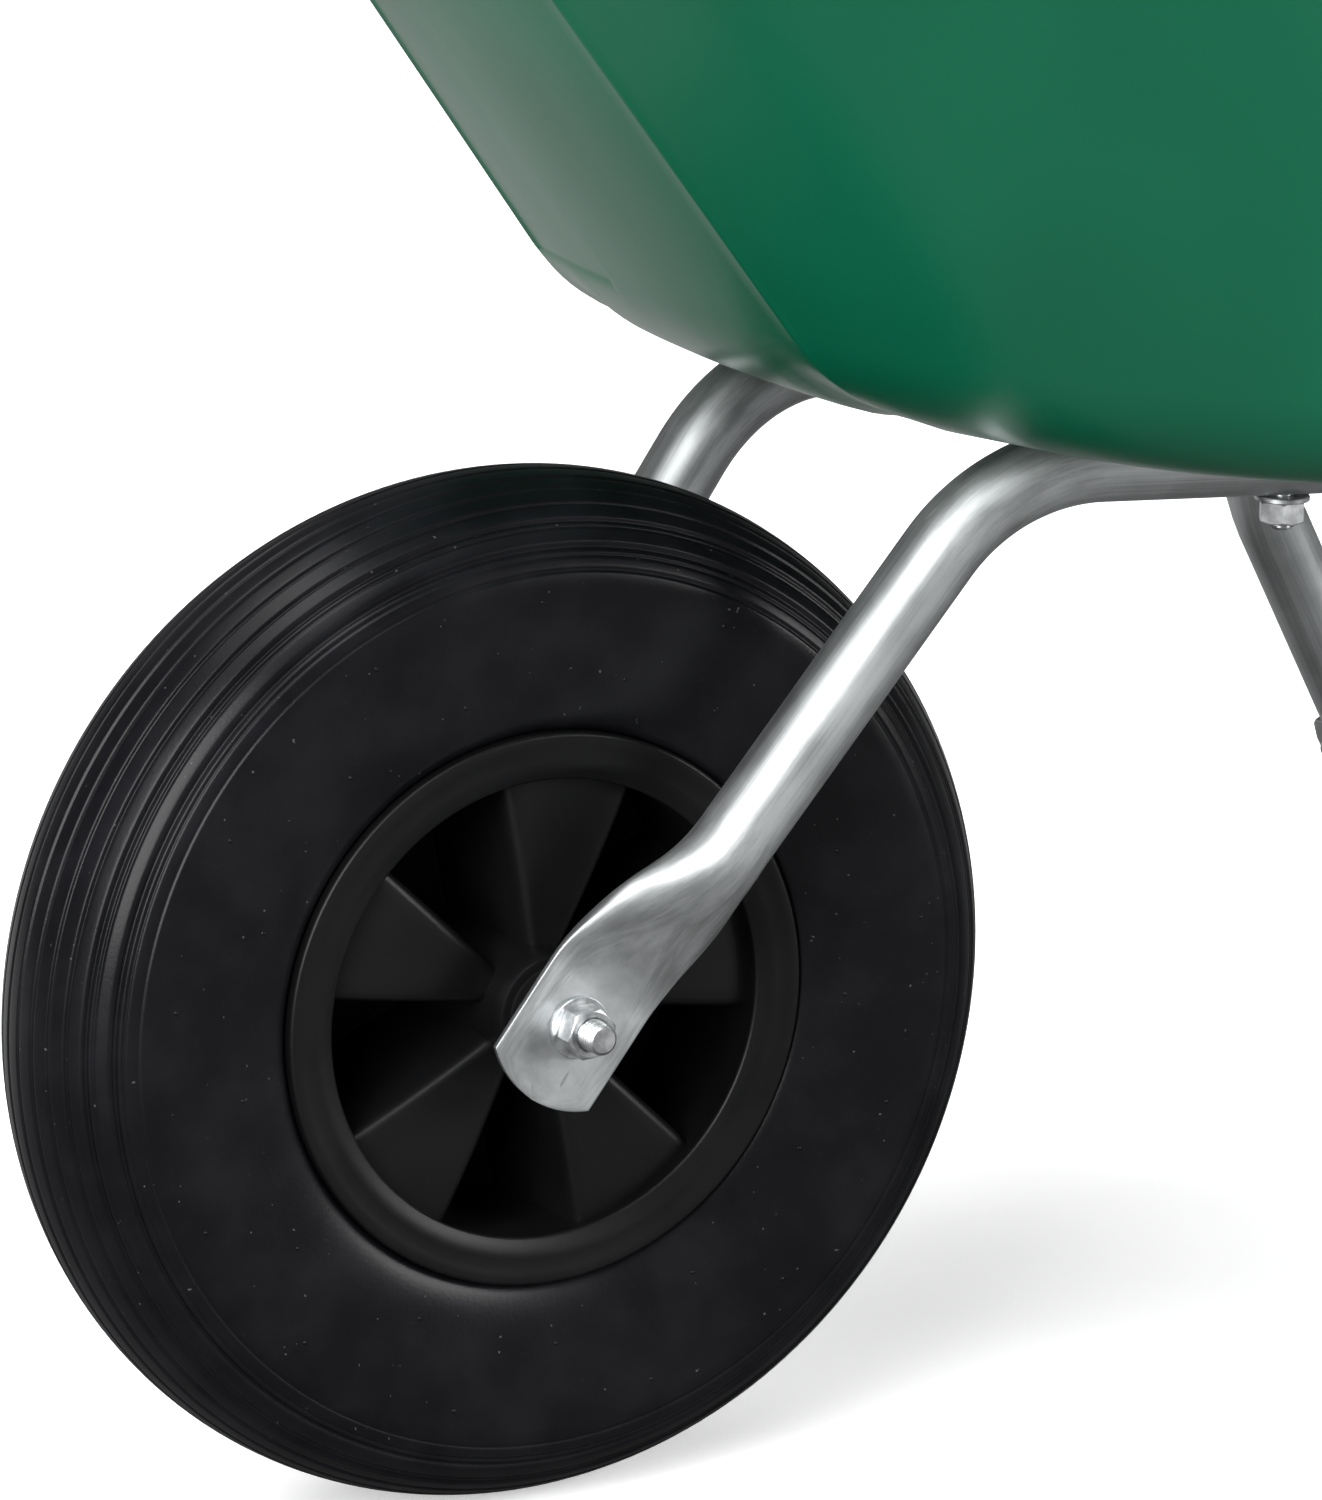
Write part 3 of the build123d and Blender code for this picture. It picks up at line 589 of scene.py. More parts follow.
def tray_rows():
    """Tray's outer face in its own axes, ring after ring from the floor's middle to the rim.

    Under the wall each column turns in by an arc tangent to floor and wall: at angle a it is
    t - R sin a in from the wall's foot and R (1 - cos a) up, with t = R tan(slope / 2).
    """
    size = bpy.context.scene.barrow
    foot, top = tray_loop(0.0), tray_loop(TRAY_DEPTH)
    middle = (foot + top) / 2
    tangent = unit(np.roll(middle, -1, 0) - np.roll(middle, 1, 0))
    normal = np.stack([tangent[:, 1], -tangent[:, 0]], -1)
    spread = ((top - foot) * normal).sum(-1) / TRAY_DEPTH
    normal = eased(middle, normal, FOOT_EASE)
    slope = np.arctan2(1, spread)
    radius = FOOT_R + np.where(normal[:, 0] > 0, *FOOT_MORE) * normal[:, 0] ** 2

    def ring_at(height, outward):
        plan = foot + (top - foot) * (height / TRAY_DEPTH)[:, None] + normal * outward[:, None]
        return np.column_stack([plan, height])

    flat = np.zeros(len(foot))
    floor = ring_at(flat, -radius * np.tan(slope / 2))
    hub = np.array([FLOOR_MIDDLE_X, 0, 0])
    rows = [hub + (floor - hub) * share for share in (0.01, 0.04, *np.linspace(0.08, 0.98, 31))]
    for turn in np.linspace(0, 1, 17):
        angle = slope * turn
        outward = radius * np.sin(angle) - radius * np.tan(slope / 2)
        height = radius * (1 - np.cos(angle))
        rows.append(ring_at(height, outward - height * spread))
    end, bead = rows[-1][:, 2], RIM_BEAD_R
    for share in np.concatenate([[0.004, 0.012, 0.03], np.linspace(0.08, 1, 15)]):
        rows.append(ring_at(end + (TRAY_DEPTH - bead - end) * share, flat))
    for turn in np.linspace(math.pi, -0.75 * math.pi, 15)[1:]:
        ring = ring_at(flat + TRAY_DEPTH - bead, flat + bead + bead * math.cos(turn))
        rows.append(ring + np.array([0, 0, bead * math.sin(turn)]))
    rows = np.stack(rows)
    high, across = rows[..., 2], rows[..., 1]
    crease = at_height(CREASE_HALF, high)
    ahead = (rows[..., 0] > -160) & (high < TRAY_DEPTH - 20)
    panel = smooth(-across - panel_line(high), -0.7, 0.7) * smooth(crease + across, 0, 2)
    panel = panel * smooth(high, PANEL_FOOT - 1, PANEL_FOOT + 1)
    ridge = np.exp(-((np.abs(across) - crease) / 0.8) ** 2) * smooth(high, 34, 40)
    rows[..., 0] += ahead * (panel * size.panel_height + ridge * size.crease_height) / MM
    return TRAY.out(channelled(rows))


def eased(loop, normal, reach):
    """The loop's normals, each averaged with weights exp(-(distance / reach)^2) along the loop,
    so that columns drawn in from the outline don't cross beside a crease.
    """
    step = np.linalg.norm(np.roll(loop, -1, 0) - loop, axis=1)
    place, total = np.cumsum(step) - step, step.sum()
    apart = np.abs(place[:, None] - place)
    apart = np.minimum(apart, total - apart)
    weight = np.exp(-(apart / reach) ** 2) * (step + np.roll(step, 1))
    return unit(weight @ normal)


def channelled(rows):
    """Lifts the floor's front over each run in a shallow channel: depth times a bell across."""
    beside = (np.abs(rows[..., 1]) - run_y(rows[..., 0])) / TUBE_R
    lift = CHANNEL_DEPTH * np.exp(-beside ** 4) * smooth(rows[..., 0], *CHANNEL_FROM)
    rows[..., 2] += lift * (1 - smooth(rows[..., 2], 10, 40)) * (rows[..., 0] < -60)
    return rows


# ---- frame tubes --------------------------------------------------------------------------
def strut_rows():
    """Left main tube: flattened plate, strut, run and handle.

    Along the neck the half width falls to the tube's radius and the half thickness rises to
    it, both by smooth steps, and the centreline moves out of the plate's plane with the second.
    """
    strut = unit(SHOULDER - STRUT_FOOT)
    corners = [STRUT_FOOT - strut * PLATE_REACH, SHOULDER, run_point(RUN_END_X), HANDLE_KNEE, HANDLE_END]
    path = bent_path(corners, BEND_RADII, arc_steps=34)
    total = along(path)[-1]
    tip = PLATE_END_R * (1 - np.cos(np.linspace(0.02, math.asin(PLATE_HALF / PLATE_END_R), 14)))
    neck = np.arange(tip[-1] + 1.5, WIDE_STRETCH[1] + PLATE_REACH + 10, 1.6)
    rest = along(path)
    rest = rest[rest > neck[-1] + 3]
    places = np.concatenate([tip, neck, rest])
    path = resampled(path, places)
    s = places - PLATE_REACH
    share = smooth(s, *THICK_STRETCH)
    at, reach, rise = SWELLING
    width = PLATE_HALF + (TUBE_R - PLATE_HALF) * smooth(s, *WIDE_STRETCH)
    width += rise * np.exp(-((s - at) / reach) ** 2)
    end = np.sqrt(np.clip(PLATE_END_R ** 2 - (PLATE_END_R - places) ** 2, 0, None))
    width = np.where(places < tip[-1] + 0.01, np.minimum(width, end), width)
    plate = (PLATE_Y[1] - PLATE_Y[0]) / 2
    thick = plate + (TUBE_R - plate) * share
    power = 2 + 7 * (1 - smooth(s, *CORNER_STRETCH))
    aside = (sum(PLATE_Y) / 2 - STRUT_FOOT[1] - strut[1] * s) * (1 - share)
    shift = aside[:, None] * LEFT
    return dented(carried(path, width, thick, power, steps=64, shift=shift), s)


def dented(rows, s):
    """Presses the outer face's shallow trough where the tube's wall folds flat."""
    middle = rows.mean(1, keepdims=True)
    out = rows - middle
    outer = smooth(out[..., 1], 0.0, 3.0)
    across = np.linalg.norm(out * np.array([1, 0, 1]), axis=-1)
    place, length_, width, depth = DENT
    bell = np.exp(-((s - place) / length_) ** 2)[:, None] * np.exp(-(across / width) ** 2)
    rows[..., 1] -= depth * bell * outer
    return rows


def run_point(x):
    """Centre of the left run at x."""
    return np.array([x, run_y(x), SHOULDER[2] - RUN_FALL * (SHOULDER[0] - x)])


# ---- legs ---------------------------------------------------------------------------------
def tab_point(x):
    """Middle of a leg's flat end, under the left run at x."""
    return TRAY.out(np.array([x, run_y(x), -2 * TUBE_R - LEG_TAB / 2]))


def leg_rows():
    """Left leg: a tube pressed flat at both ends, bent to a V with a short foot.

    Half thickness and half width change by smooth steps within 70 mm of the tabs' bends.
    """
    feet = [np.array([x, y, FOOT_Z]) for x, y in LEG_FEET]
    bolt = TRAY_BOLT_X[1:]
    corners = [tab_point(bolt[0] - 20), tab_point(LEG_TOPS_X[0] + 8), *feet,
               tab_point(LEG_TOPS_X[1] + 6), tab_point(bolt[1] - 20)]
    path = bent_path(corners, LEG_BENDS, run_steps=40)
    s = along(path)
    bend_one = np.linalg.norm(corners[1] - corners[0])
    bend_two = s[-1] - np.linalg.norm(corners[5] - corners[4])
    down = np.minimum(s - bend_one, bend_two - s)
    thick = LEG_TAB / 2 + (TUBE_R - LEG_TAB / 2) * smooth(down, 4, 78)
    width = LEG_TAB_HALF + (TUBE_R - LEG_TAB_HALF) * smooth(down, 20, 90)
    power = 2 + 6 * (1 - smooth(down, 0, 30))
    from_end = np.minimum(s, s[-1] - s)
    width = width * np.sqrt(np.clip(1 - (1 - np.clip(from_end / 9, 0, 1)) ** 2 * 0.75, 0.02, 1))
    rows = carried(path, thick, width, power, steps=40)
    floor = GROUND_Z + STRIP[2] - 0.5
    rows[..., 2] = np.maximum(rows[..., 2], floor)
    return rows


def strip_rows():
    """Wear strip under the left foot: a thin superellipse carried along the foot."""
    (x1, y1), (x2, y2) = LEG_FEET
    height = GROUND_Z + STRIP[2] / 2
    middle = np.array([(x1 + x2) / 2, (y1 + y2) / 2, height])
    ahead = unit(np.array([x1 - x2, y1 - y2, 0]))
    place = np.concatenate([[-1, -0.99, -0.96], np.linspace(-0.9, 0.9, 7), [0.96, 0.99, 1]])
    path = middle + place[:, None] * ahead * STRIP[0] / 2
    end = (1 - np.abs(place) ** 12) ** 0.25
    return carried(path, STRIP[2] / 2 * (0.7 + 0.3 * end), 2 + (STRIP[1] / 2 - 2) * end, 9.0, steps=40)


def brace_bolt_place():
    """Axes of the brace's left bolt: z ahead, square to the leg's front member."""
    foot = np.array([*LEG_FEET[0], FOOT_Z])
    top = run_point(LEG_TOPS_X[0]) - np.array([0, 0, TUBE_R + LEG_TAB])
    rise = unit(top - foot)
    top = top + rise * LEG_TOP_PAST
    centre = top + (foot - top) * top[2] / (top[2] - FOOT_Z)
    return Place(centre, np.cross(LEFT, rise), rise)


def brace_rows():
    """Cross brace: round in the middle, pressed flat where it lies on each leg."""
    place = brace_bolt_place()
    ahead, rise = place.axes[2], place.axes[0]
    reach = place.origin[1]
    side = np.linspace(0, reach + 16, 60)
    y = np.concatenate([-side[:0:-1], side])
    span = np.abs(y)
    round_ = 1 - smooth(span, reach - 52, reach - 20)
    thick = BRACE_TAB[0] + (BRACE_R - BRACE_TAB[0]) * round_
    tall = BRACE_TAB[1] + (BRACE_R - BRACE_TAB[1]) * round_
    tip = np.sqrt(np.clip(1 - np.clip((span - reach - 8) / 8.2, 0, 1) ** 2, 0.02, 1))
    centre = place.origin * np.array([1, 0, 1])
    path = centre + ahead * (TUBE_R + BRACE_TAB[0]) + y[:, None] * LEFT
    path = path + ahead * (BRACE_AHEAD * round_)[:, None]
    return carried(path, thick, tall * tip, 2 + 6 * (1 - round_), hint=rise, steps=40)


# ---- grips --------------------------------------------------------------------------------
def grip_rows():
    """Left hand grip: sleeve radius with finger waves below, a collar, and a domed end."""
    back = unit(HANDLE_END - HANDLE_KNEE)
    start, dome = HANDLE_END - back * GRIP_COVER, 9
    straight = GRIP_LENGTH - dome
    radius, wide = GRIP_COLLAR
    s = np.concatenate([[0, 0.4, 1.2, 3, 4.8, 5.6, 6.0, 6.6, 8], np.linspace(10, straight, 70),
                        straight + dome * np.sin(np.linspace(0.1, 1.54, 12))])
    collar = radius - (2 * s / wide - 1) ** 4
    base = np.where(s <= wide, collar, GRIP_R + 1.6 * np.exp(-(s - wide) / 3))
    over = np.clip((s - straight) / dome, 0, 1)
    base = base - GRIP_R * (1 - np.sqrt(np.clip(1 - over ** 2, 0, 1))) * 0.98
    fingers = smooth(s, 14, 24) * (1 - smooth(s, GRIP_LENGTH - 24, GRIP_LENGTH - 12))
    wave = 1.5 * np.cos((s - 22) * 2 * math.pi / 23) * fingers
    ribs = 0.35 * np.cos(s * 2 * math.pi / 3.2) * fingers
    path = start + s[:, None] * back
    rows = carried(path, base, base, 2.0, steps=72)
    out = unit(rows - path[:, None])
    below = np.clip(-out[..., 2], 0, 1)
    above = np.clip(out[..., 2], 0, 1) ** 2
    return rows + out * (wave[:, None] * below + ribs[:, None] * above)[..., None]


# ---- wheel --------------------------------------------------------------------------------
def tyre_profile():
    """Closed section (y, r) of the tyre.

    Tread: y = W sin^(2/p) a and r = R - h + h cos^(2/p) a. Grooves sink each point along the
    section's normal by depth exp(-(d / width)^2), with d the distance from the groove along
    the section.
    """
    size = bpy.context.scene.barrow
    a = np.linspace(0, math.pi / 2, 1200)
    exponent, drop = 2 / SHOULDER_POWER, SHOULDER_DROP
    tread = np.stack([TYRE_HALF * np.sin(a) ** exponent, TYRE_R - drop + drop * np.cos(a) ** exponent], -1)
    side = np.vstack([tread, sidewall(np.linspace(0, math.pi / 2, 300)[1:])])
    s = along(np.column_stack([side, 0 * a[:1].repeat(len(side))]))
    even = np.concatenate([np.arange(0, 66, 0.42), np.linspace(66, s[-1], 42)])
    side = np.stack([np.interp(even, s, side[:, k]) for k in range(2)], -1)
    tangent = unit(np.gradient(side, axis=0))
    normal = np.stack([-tangent[:, 1], tangent[:, 0]], -1)
    depth = np.zeros(len(even))
    for place, width, deep in tread_grooves(size.groove_depth / MM):
        depth += deep * np.exp(-((even - place) / width) ** 2)
    side = side - normal * depth[:, None]
    bore = np.array([(29, 101.9), (29, 107), (36, 121), (40.5, 143), (39, 163), (33, 180), (19, 190.3),
                     (0, 193.4)])
    outer = np.vstack([side[::-1], side[1:] * np.array([-1, 1])])
    heel = np.array([(35.6, 106.0), (35.4, 101.9)])
    inner = np.vstack([bore[:-1] * np.array([-1, 1]), bore[::-1]])
    return np.vstack([heel[::-1], outer, heel * np.array([-1, 1]), inner])


def sidewall(b):
    """(y, r) of the sidewall from the widest point, b = 0, to the bead, b = a quarter turn:
    y = bead + (W - bead) cos^m b and r = widest point's radius - fall sin^n b.
    """
    aside, down = WALL_POWERS
    y = BEAD_Y + (TYRE_HALF - BEAD_Y) * np.cos(b) ** aside
    return np.stack([y, TYRE_R - SHOULDER_DROP - WALL_DROP * np.sin(b) ** down], -1)


def tread_grooves(deep):
    """(distance from the crown, width, depth) of each groove on one half of the tread."""
    fine = [(4.5, 0.7, deep), (13.5, 0.7, deep), (22.0, 0.7, deep), (30.5, 0.8, deep)]
    shoulder = [(38.5, 1.1, deep * 1.2), (41.6, 0.6, deep * 0.5), (49.5, 1.3, deep * 1.2),
                (53.0, 0.6, deep * 0.5), (58.5, 0.7, deep * 0.45)]
    return fine + shoulder


def side_point(angle, radius):
    """Point on the left sidewall at an angle from +Z towards +X."""
    share = np.clip((TYRE_R - SHOULDER_DROP - radius) / WALL_DROP, 0, 1)
    y = sidewall(np.arcsin(share ** (1 / WALL_POWERS[1])))[0]
    return np.array([radius * math.sin(angle), y, radius * math.cos(angle)])


def nib_rows(angle, radius, size, height):
    """One vent nib: a low dome, r = size cos a and z = height sin a, on the sidewall."""
    a = np.linspace(0, 1.45, 5)
    profile = np.column_stack([size * np.cos(a), height * np.sin(a) - 0.25])
    point = side_point(angle, radius)
    return turned(profile, Place(point, LEFT, UP), steps=8)


def rim_ring_profile():
    """Closed section (y, r) of the barrel with its two flanges, corners rounded by arcs."""
    face, well, seat, inside = RIM_FACE_Y, RIM_WELL_Y, RIM_SEAT_R, RIM_INSIDE_R
    edge, lip = RIM_RING_R

    def arc(y, r, radius, start, end, count=6):
        turn = np.radians(np.linspace(start, end, count))
        return np.stack([y + radius * np.cos(turn), r + radius * np.sin(turn)], -1)

    right = np.vstack([
        [(30, inside - 3.2)], arc(face - 3.4, edge + 1.6, 1.6, -120, -10), [(face - 1.5, edge + 2.2)],
        [(face - 0.2, edge + 5.0)], [(face, edge + 8.0)], [(face - 0.1, lip - 5.0)],
        [(face + 0.35, lip - 3.6)], arc(face - 1.4, lip - 1.6, 1.6, -15, 100, 8),
        arc(well + 1.2, lip - 1.2, 1.2, 100, 180, 5), [(well, seat + 1.0)], [(well - 1.0, seat)],
    ])
    left = right[::-1] * np.array([-1, 1])
    return np.vstack([right, left])


def web_rows():
    """Corrugated web: sectors turn about at +Y and -Y, joined by steep walls.

    Round each radius the height is that of a rounded step whose width in mm is the same at
    every radius, so a wall keeps its thickness from hub to barrel.
    """
    high = bpy.context.scene.barrow.web_height / MM
    q = np.array([-4.2, -3.0, -2.1, -1.55, -1.3, -0.9, 0.9, 1.3, 1.55, 2.1, 3.0, 4.2])
    y = np.array([1, 0.995, 0.965, 0.9, 0.8, 0.5, -0.5, -0.8, -0.9, -0.965, -0.995, -1.0]) * high
    radius = np.concatenate([[22.5, 23.5, 25], np.linspace(30, 88, 12), [90, 91.8, 93.4, 94.6]])[:, None]
    step = 2 * math.pi / WEB_SECTORS
    angles, heights = [], []
    for index in range(WEB_SECTORS):
        start = WEB_FIRST + (index + 1) * step
        sign = 1 if index % 2 == 0 else -1
        inside = np.linspace(0.12, 0.88, 7)
        free = step - 2 * q[-1] / radius
        flat = start - step + q[-1] / radius + free * inside
        angles += [flat, start + q / radius]
        heights += [np.full(flat.shape, sign * high), np.broadcast_to(sign * y, (len(radius), len(q)))]
    angle, height = np.hstack(angles), np.hstack(heights)
    height = height - np.sign(height) * WEB_DISH * ((radius - 60) / 35) ** 2
    return np.stack([radius * np.sin(angle), height, radius * np.cos(angle)], -1)


def hub_profile():
    """Closed section (y, r) of the hub with rounded mouths."""
    half = np.array([(0, 24.0), (40, 23.2), (45.6, 22.8), (46.6, 22.2), (47, 21.2), (47, 16.4), (46, 15.1)])
    left = half[::-1] * np.array([-1, 1])
    return np.vstack([half, [(0, 15.0)], left[:-1]])


# ---- fasteners ----------------------------------------------------------------------------
def hexagon(flats, angle):
    """Radius of a hexagon at an angle: half its width over the cosine from the nearest flat."""
    return flats / 2 / np.cos((angle + math.pi / 6) % (math.pi / 3) - math.pi / 6)


def nut_rows(kind, place, steps=96):
    """Hexagon nut on z = 0 of a place: at each angle the radius is the least of the hexagon's
    and the chamfer cones', r = f + 1.7 z from either face; the bore is chamfered.
    """
    flats, height, bore = kind
    inside = bore / 2
    angle = round_angles(steps)
    face = flats / 2 * 0.965
    z = np.array([0, 0.12, 0.3, 0.55, 0.85, 1.2, 1.8])
    z = np.concatenate([z, [height / 2], height - z[::-1]])
    cone = face + 1.75 * np.minimum(z, height - z)
    outer = np.minimum(hexagon(flats, angle)[None], cone[:, None])
    lip = np.array([[inside, 0.9], [inside + 0.9, 0.02], [(inside + face) / 2, 0]])
    bores = np.broadcast_to(lip[:, :1], (3, steps))
    radii = np.vstack([bores, outer, bores[::-1]])
    level = np.concatenate([lip[:, 1], z, height - lip[::-1, 1]])[:, None]
    return place.out(lathe(radii, level, angle))


def washer_rows(outer, inner, thick, place, steps=72):
    """Flat washer on z = 0 of a place, its edges rounded."""
    e = min(0.35, thick / 4)
    profile = [(inner, e), (inner + e, 0), (outer - e, 0), (outer, e), (outer, thick - e),
               (outer - e, thick), (inner + e, thick), (inner, thick - e)]
    return turned(profile, place, steps)


def thread_rows(radius, pitch, start, end, place, threads, steps=32):
    """Threaded rod along z: r = R - depth times a triangle wave of z / pitch - angle / 2 pi,
    faded out off the threaded lengths and cut by a cone at each tip.
    """
    z = [np.array([start, start + 0.01])]
    for low, high in threads:
        z.append(np.arange(low, high, pitch / 7))
    z.append(np.array([end - 0.01, end]))
    z = np.unique(np.concatenate(z))[:, None]
    angle = round_angles(steps)
    phase = (z / pitch - angle / (2 * math.pi)) % 1
    tooth = np.clip(np.abs(phase - 0.5) * 2.6 - 0.3, 0, 1)
    deep = 0.6 * pitch
    mask = np.zeros_like(z)
    for low, high in threads:
        mask = np.maximum(mask, (z > low) * (z < high) * smooth(np.minimum(z - low, high - z), -0.01, 0.6))
    r = radius - deep * tooth * mask
    cone = radius - 1.3 + np.minimum(z - start, end - z) * 1.1
    return place.out(lathe(np.minimum(r, cone), z, angle))


def coach_head(place):
    """Domed coach bolt head: a low spherical cap on z = 0."""
    a = np.linspace(0, 1, 9)
    dome = [(10.6 * math.cos(t * math.pi / 2) + 0.01, 0.8 + 4.2 * math.sin(t * math.pi / 2)) for t in a]
    return turned([(0.01, 0), (10.2, 0)] + dome, place)


def tray_bolt_place(x, side):
    """Axes of a tray bolt: z along the tray's own up, from the floor's underside."""
    local = np.array([x, side * run_y(x), 0])
    return Place(TRAY.out(local), TRAY.axes[2], TRAY.axes[0])


def lowered(place, z, turn=0.0):
    """The same axes moved along their z, and turned about it by turn radians."""
    x, y = place.axes[0], place.axes[1]
    return Place(place.origin + place.axes[2] * z, place.axes[2], x * math.cos(turn) + y * math.sin(turn))


def tray_bolt_places():
    """Each tray bolt's axes, underside height and a turn of its own for the nut."""
    places = []
    for index, (x, under) in enumerate(zip(TRAY_BOLT_X, TRAY_BOLT_UNDER)):
        for side in (1, -1):
            places.append((tray_bolt_place(x, side), under, 0.35 + index * 0.8 + side * 0.2))
    return places


# ---- add-on: settings ---------------------------------------------------------------------
def colour(name, text, value):
    return bpy.props.FloatVectorProperty(
        name=name, description=text, subtype="COLOR", size=3, min=0, max=1, default=value)


def length(name, text, value):
    return bpy.props.FloatProperty(
        name=name, description=text, unit="LENGTH", default=value, precision=4)


def number(name, text, value):
    return bpy.props.FloatProperty(name=name, description=text, default=value)


class BarrowSettings(bpy.types.PropertyGroup):
    """Sizes and colours of the barrow."""

    tray_colour: colour("Tray", "Moulded tray's colour", srgb(1, 86, 60))
    steel_colour: colour("Tube", "Galvanised tube's colour", srgb(188, 191, 192))
    rubber_colour: colour("Tyre", "Tyre's colour", srgb(11, 11, 14))
    panel_edge: length("Panel edge", "Panel's edge from the tray's middle, at the floor", 0.0238)
    panel_height: length("Panel relief", "How far the front panel stands proud", -0.001)
    crease_height: length("Crease relief", "How far the front's creases stand proud", 0.0004)
    groove_depth: length("Groove depth", "Depth of the tread's grooves", 0.0013)
    web_height: length("Web height", "Rim sectors' distance from the wheel's middle plane", 0.033)


class StageSettings(bpy.types.PropertyGroup):
    """Camera and light."""

    azimuth: bpy.props.FloatProperty(
        name="Azimuth", description="Camera's turn from the left side to the front",
        subtype="ANGLE", default=math.radians(27.416))
    elevation: bpy.props.FloatProperty(
        name="Elevation", description="Camera's height angle",
        subtype="ANGLE", default=math.radians(14.635))
    roll: bpy.props.FloatProperty(
        name="Roll", description="Camera's turn about its own axis",
        subtype="ANGLE", default=math.radians(-0.591))
    distance: length("Distance", "From the camera to the axle's centre", 3.0)
    aside: length("Aside", "Axle's place left of the view's middle", 0.0613)
    below: length("Below", "Axle's place under the view's middle", 0.0885)
    lens: number("Lens", "Focal length in mm", 189.9)
    key: number("Key", "Power of the large soft light in W", 110.0)
    sky: number("Sky", "Soft light straight from above", 2.2)
    surround: number("Surround", "Grey of the surround as a light", 0.12)
    floor: number("Floor", "Grey of the floor in reflections", 0.15)


# ---- add-on: operators --------------------------------------------------------------------
class BARROW_OT_tray(bpy.types.Operator):
    """Moulded tray with its rolled rim"""
    bl_idname = "barrow.tray"
    bl_label = "Tray"

    def execute(self, context):
        piece = skin("tray_moulding", tray_rows(), caps=False, sharp=60, flip=False)
        close_pole(piece)
        wall = piece.modifiers.new("wall", "SOLIDIFY")
        wall.thickness = TRAY_WALL * MM
        wall.offset = -1
        finish(piece, "frame", "tray_plastic", material("tray_plastic"), "tray")
        return {"FINISHED"}


def close_pole(piece):
    """Closes the small hole in the tray floor's middle with one face."""
    mesh = piece.data
    columns = len(tray_loop(0.0))
    mesh_points = np.zeros(len(mesh.vertices) * 3)
    mesh.vertices.foreach_get("co", mesh_points)
    faces = [tuple(p.vertices) for p in mesh.polygons] + [tuple(range(columns))[::-1]]
    mesh.clear_geometry()
    mesh.from_pydata(mesh_points.reshape(-1, 3).tolist(), [], faces)
    mesh.polygons.foreach_set("use_smooth", np.ones(len(mesh.polygons), bool))
    mesh.update()


class BARROW_OT_tubes(bpy.types.Operator):
    """Main tubes from the wheel's plates to the handles"""
    bl_idname = "barrow.tubes"
    bl_label = "Main tubes"

    def execute(self, context):
        rows = strut_rows()
        run = along(rows.mean(1))[-1] * MM
        for side, shape in (("left", rows), ("right", on_right(rows))):
            piece = skin(f"tube_{side}", shape, uv=(2 * math.pi * TUBE_R * MM, run), sharp=50)
            finish(piece, "frame", "galvanised_tube", material("galvanised_tube"), f"main_tube_{side}")
        return {"FINISHED"}


class BARROW_OT_legs(bpy.types.Operator):
    """Legs with their wear strips, and the cross brace"""
    bl_idname = "barrow.legs"
    bl_label = "Legs and brace"

    def execute(self, context):
        steel = material("galvanised_tube")
        girth = 2 * math.pi * TUBE_R * MM
        for side, turn in (("left", np.array), ("right", on_right)):
            tube, strip = turn(leg_rows()), turn(strip_rows())
            parts = [skin("leg", tube, uv=(girth, 0.9), sharp=50), skin("strip", strip, uv=(0.06, 0.06))]
            piece = joined(f"leg_tube_{side}", parts)
            finish(piece, "frame", "galvanised_tube", steel, f"leg_{side}")
        piece = skin("cross_brace", brace_rows(), uv=(0.06, 0.36), sharp=50)
        finish(piece, "frame", "galvanised_tube", steel, "leg_brace")
        return {"FINISHED"}


class BARROW_OT_grips(bpy.types.Operator):
    """Hand grips"""
    bl_idname = "barrow.grips"
    bl_label = "Grips"

    def execute(self, context):
        rows = grip_rows()
        for side, shape in (("left", rows), ("right", on_right(rows))):
            piece = skin(f"hand_grip_{side}", shape, sharp=60)
            finish(piece, "frame", "grip_plastic", material("grip_plastic"), f"grip_{side}")
        return {"FINISHED"}


class BARROW_OT_tyre(bpy.types.Operator):
    """Tyre with its tread grooves and vent nibs"""
    bl_idname = "barrow.tyre"
    bl_label = "Tyre"

    def execute(self, context):
        piece = skin("tyre_cover", spin(tyre_profile(), 200), ring=True, sharp=70)
        finish(piece, "wheel", "tyre_rubber", material("tyre_rubber"), "tyre")
        chance = np.random.default_rng(7)
        nibs = []
        for index in range(26):
            angle = index * 2 * math.pi / 26 + chance.uniform(-0.05, 0.05)
            radius = (156.0, 128.0)[index % 2] + chance.uniform(-3, 3)
            shape = nib_rows(angle, radius, 1.0, 0.8)
            nibs += [skin("nib", shape, sharp=80), skin("nib", on_right(shape), sharp=80)]
        piece = joined("tyre_vent_nibs", nibs)
        finish(piece, "wheel", "tyre_rubber", material("tyre_rubber"))
        dress("inner_tube", "tube_rubber")
        return {"FINISHED"}


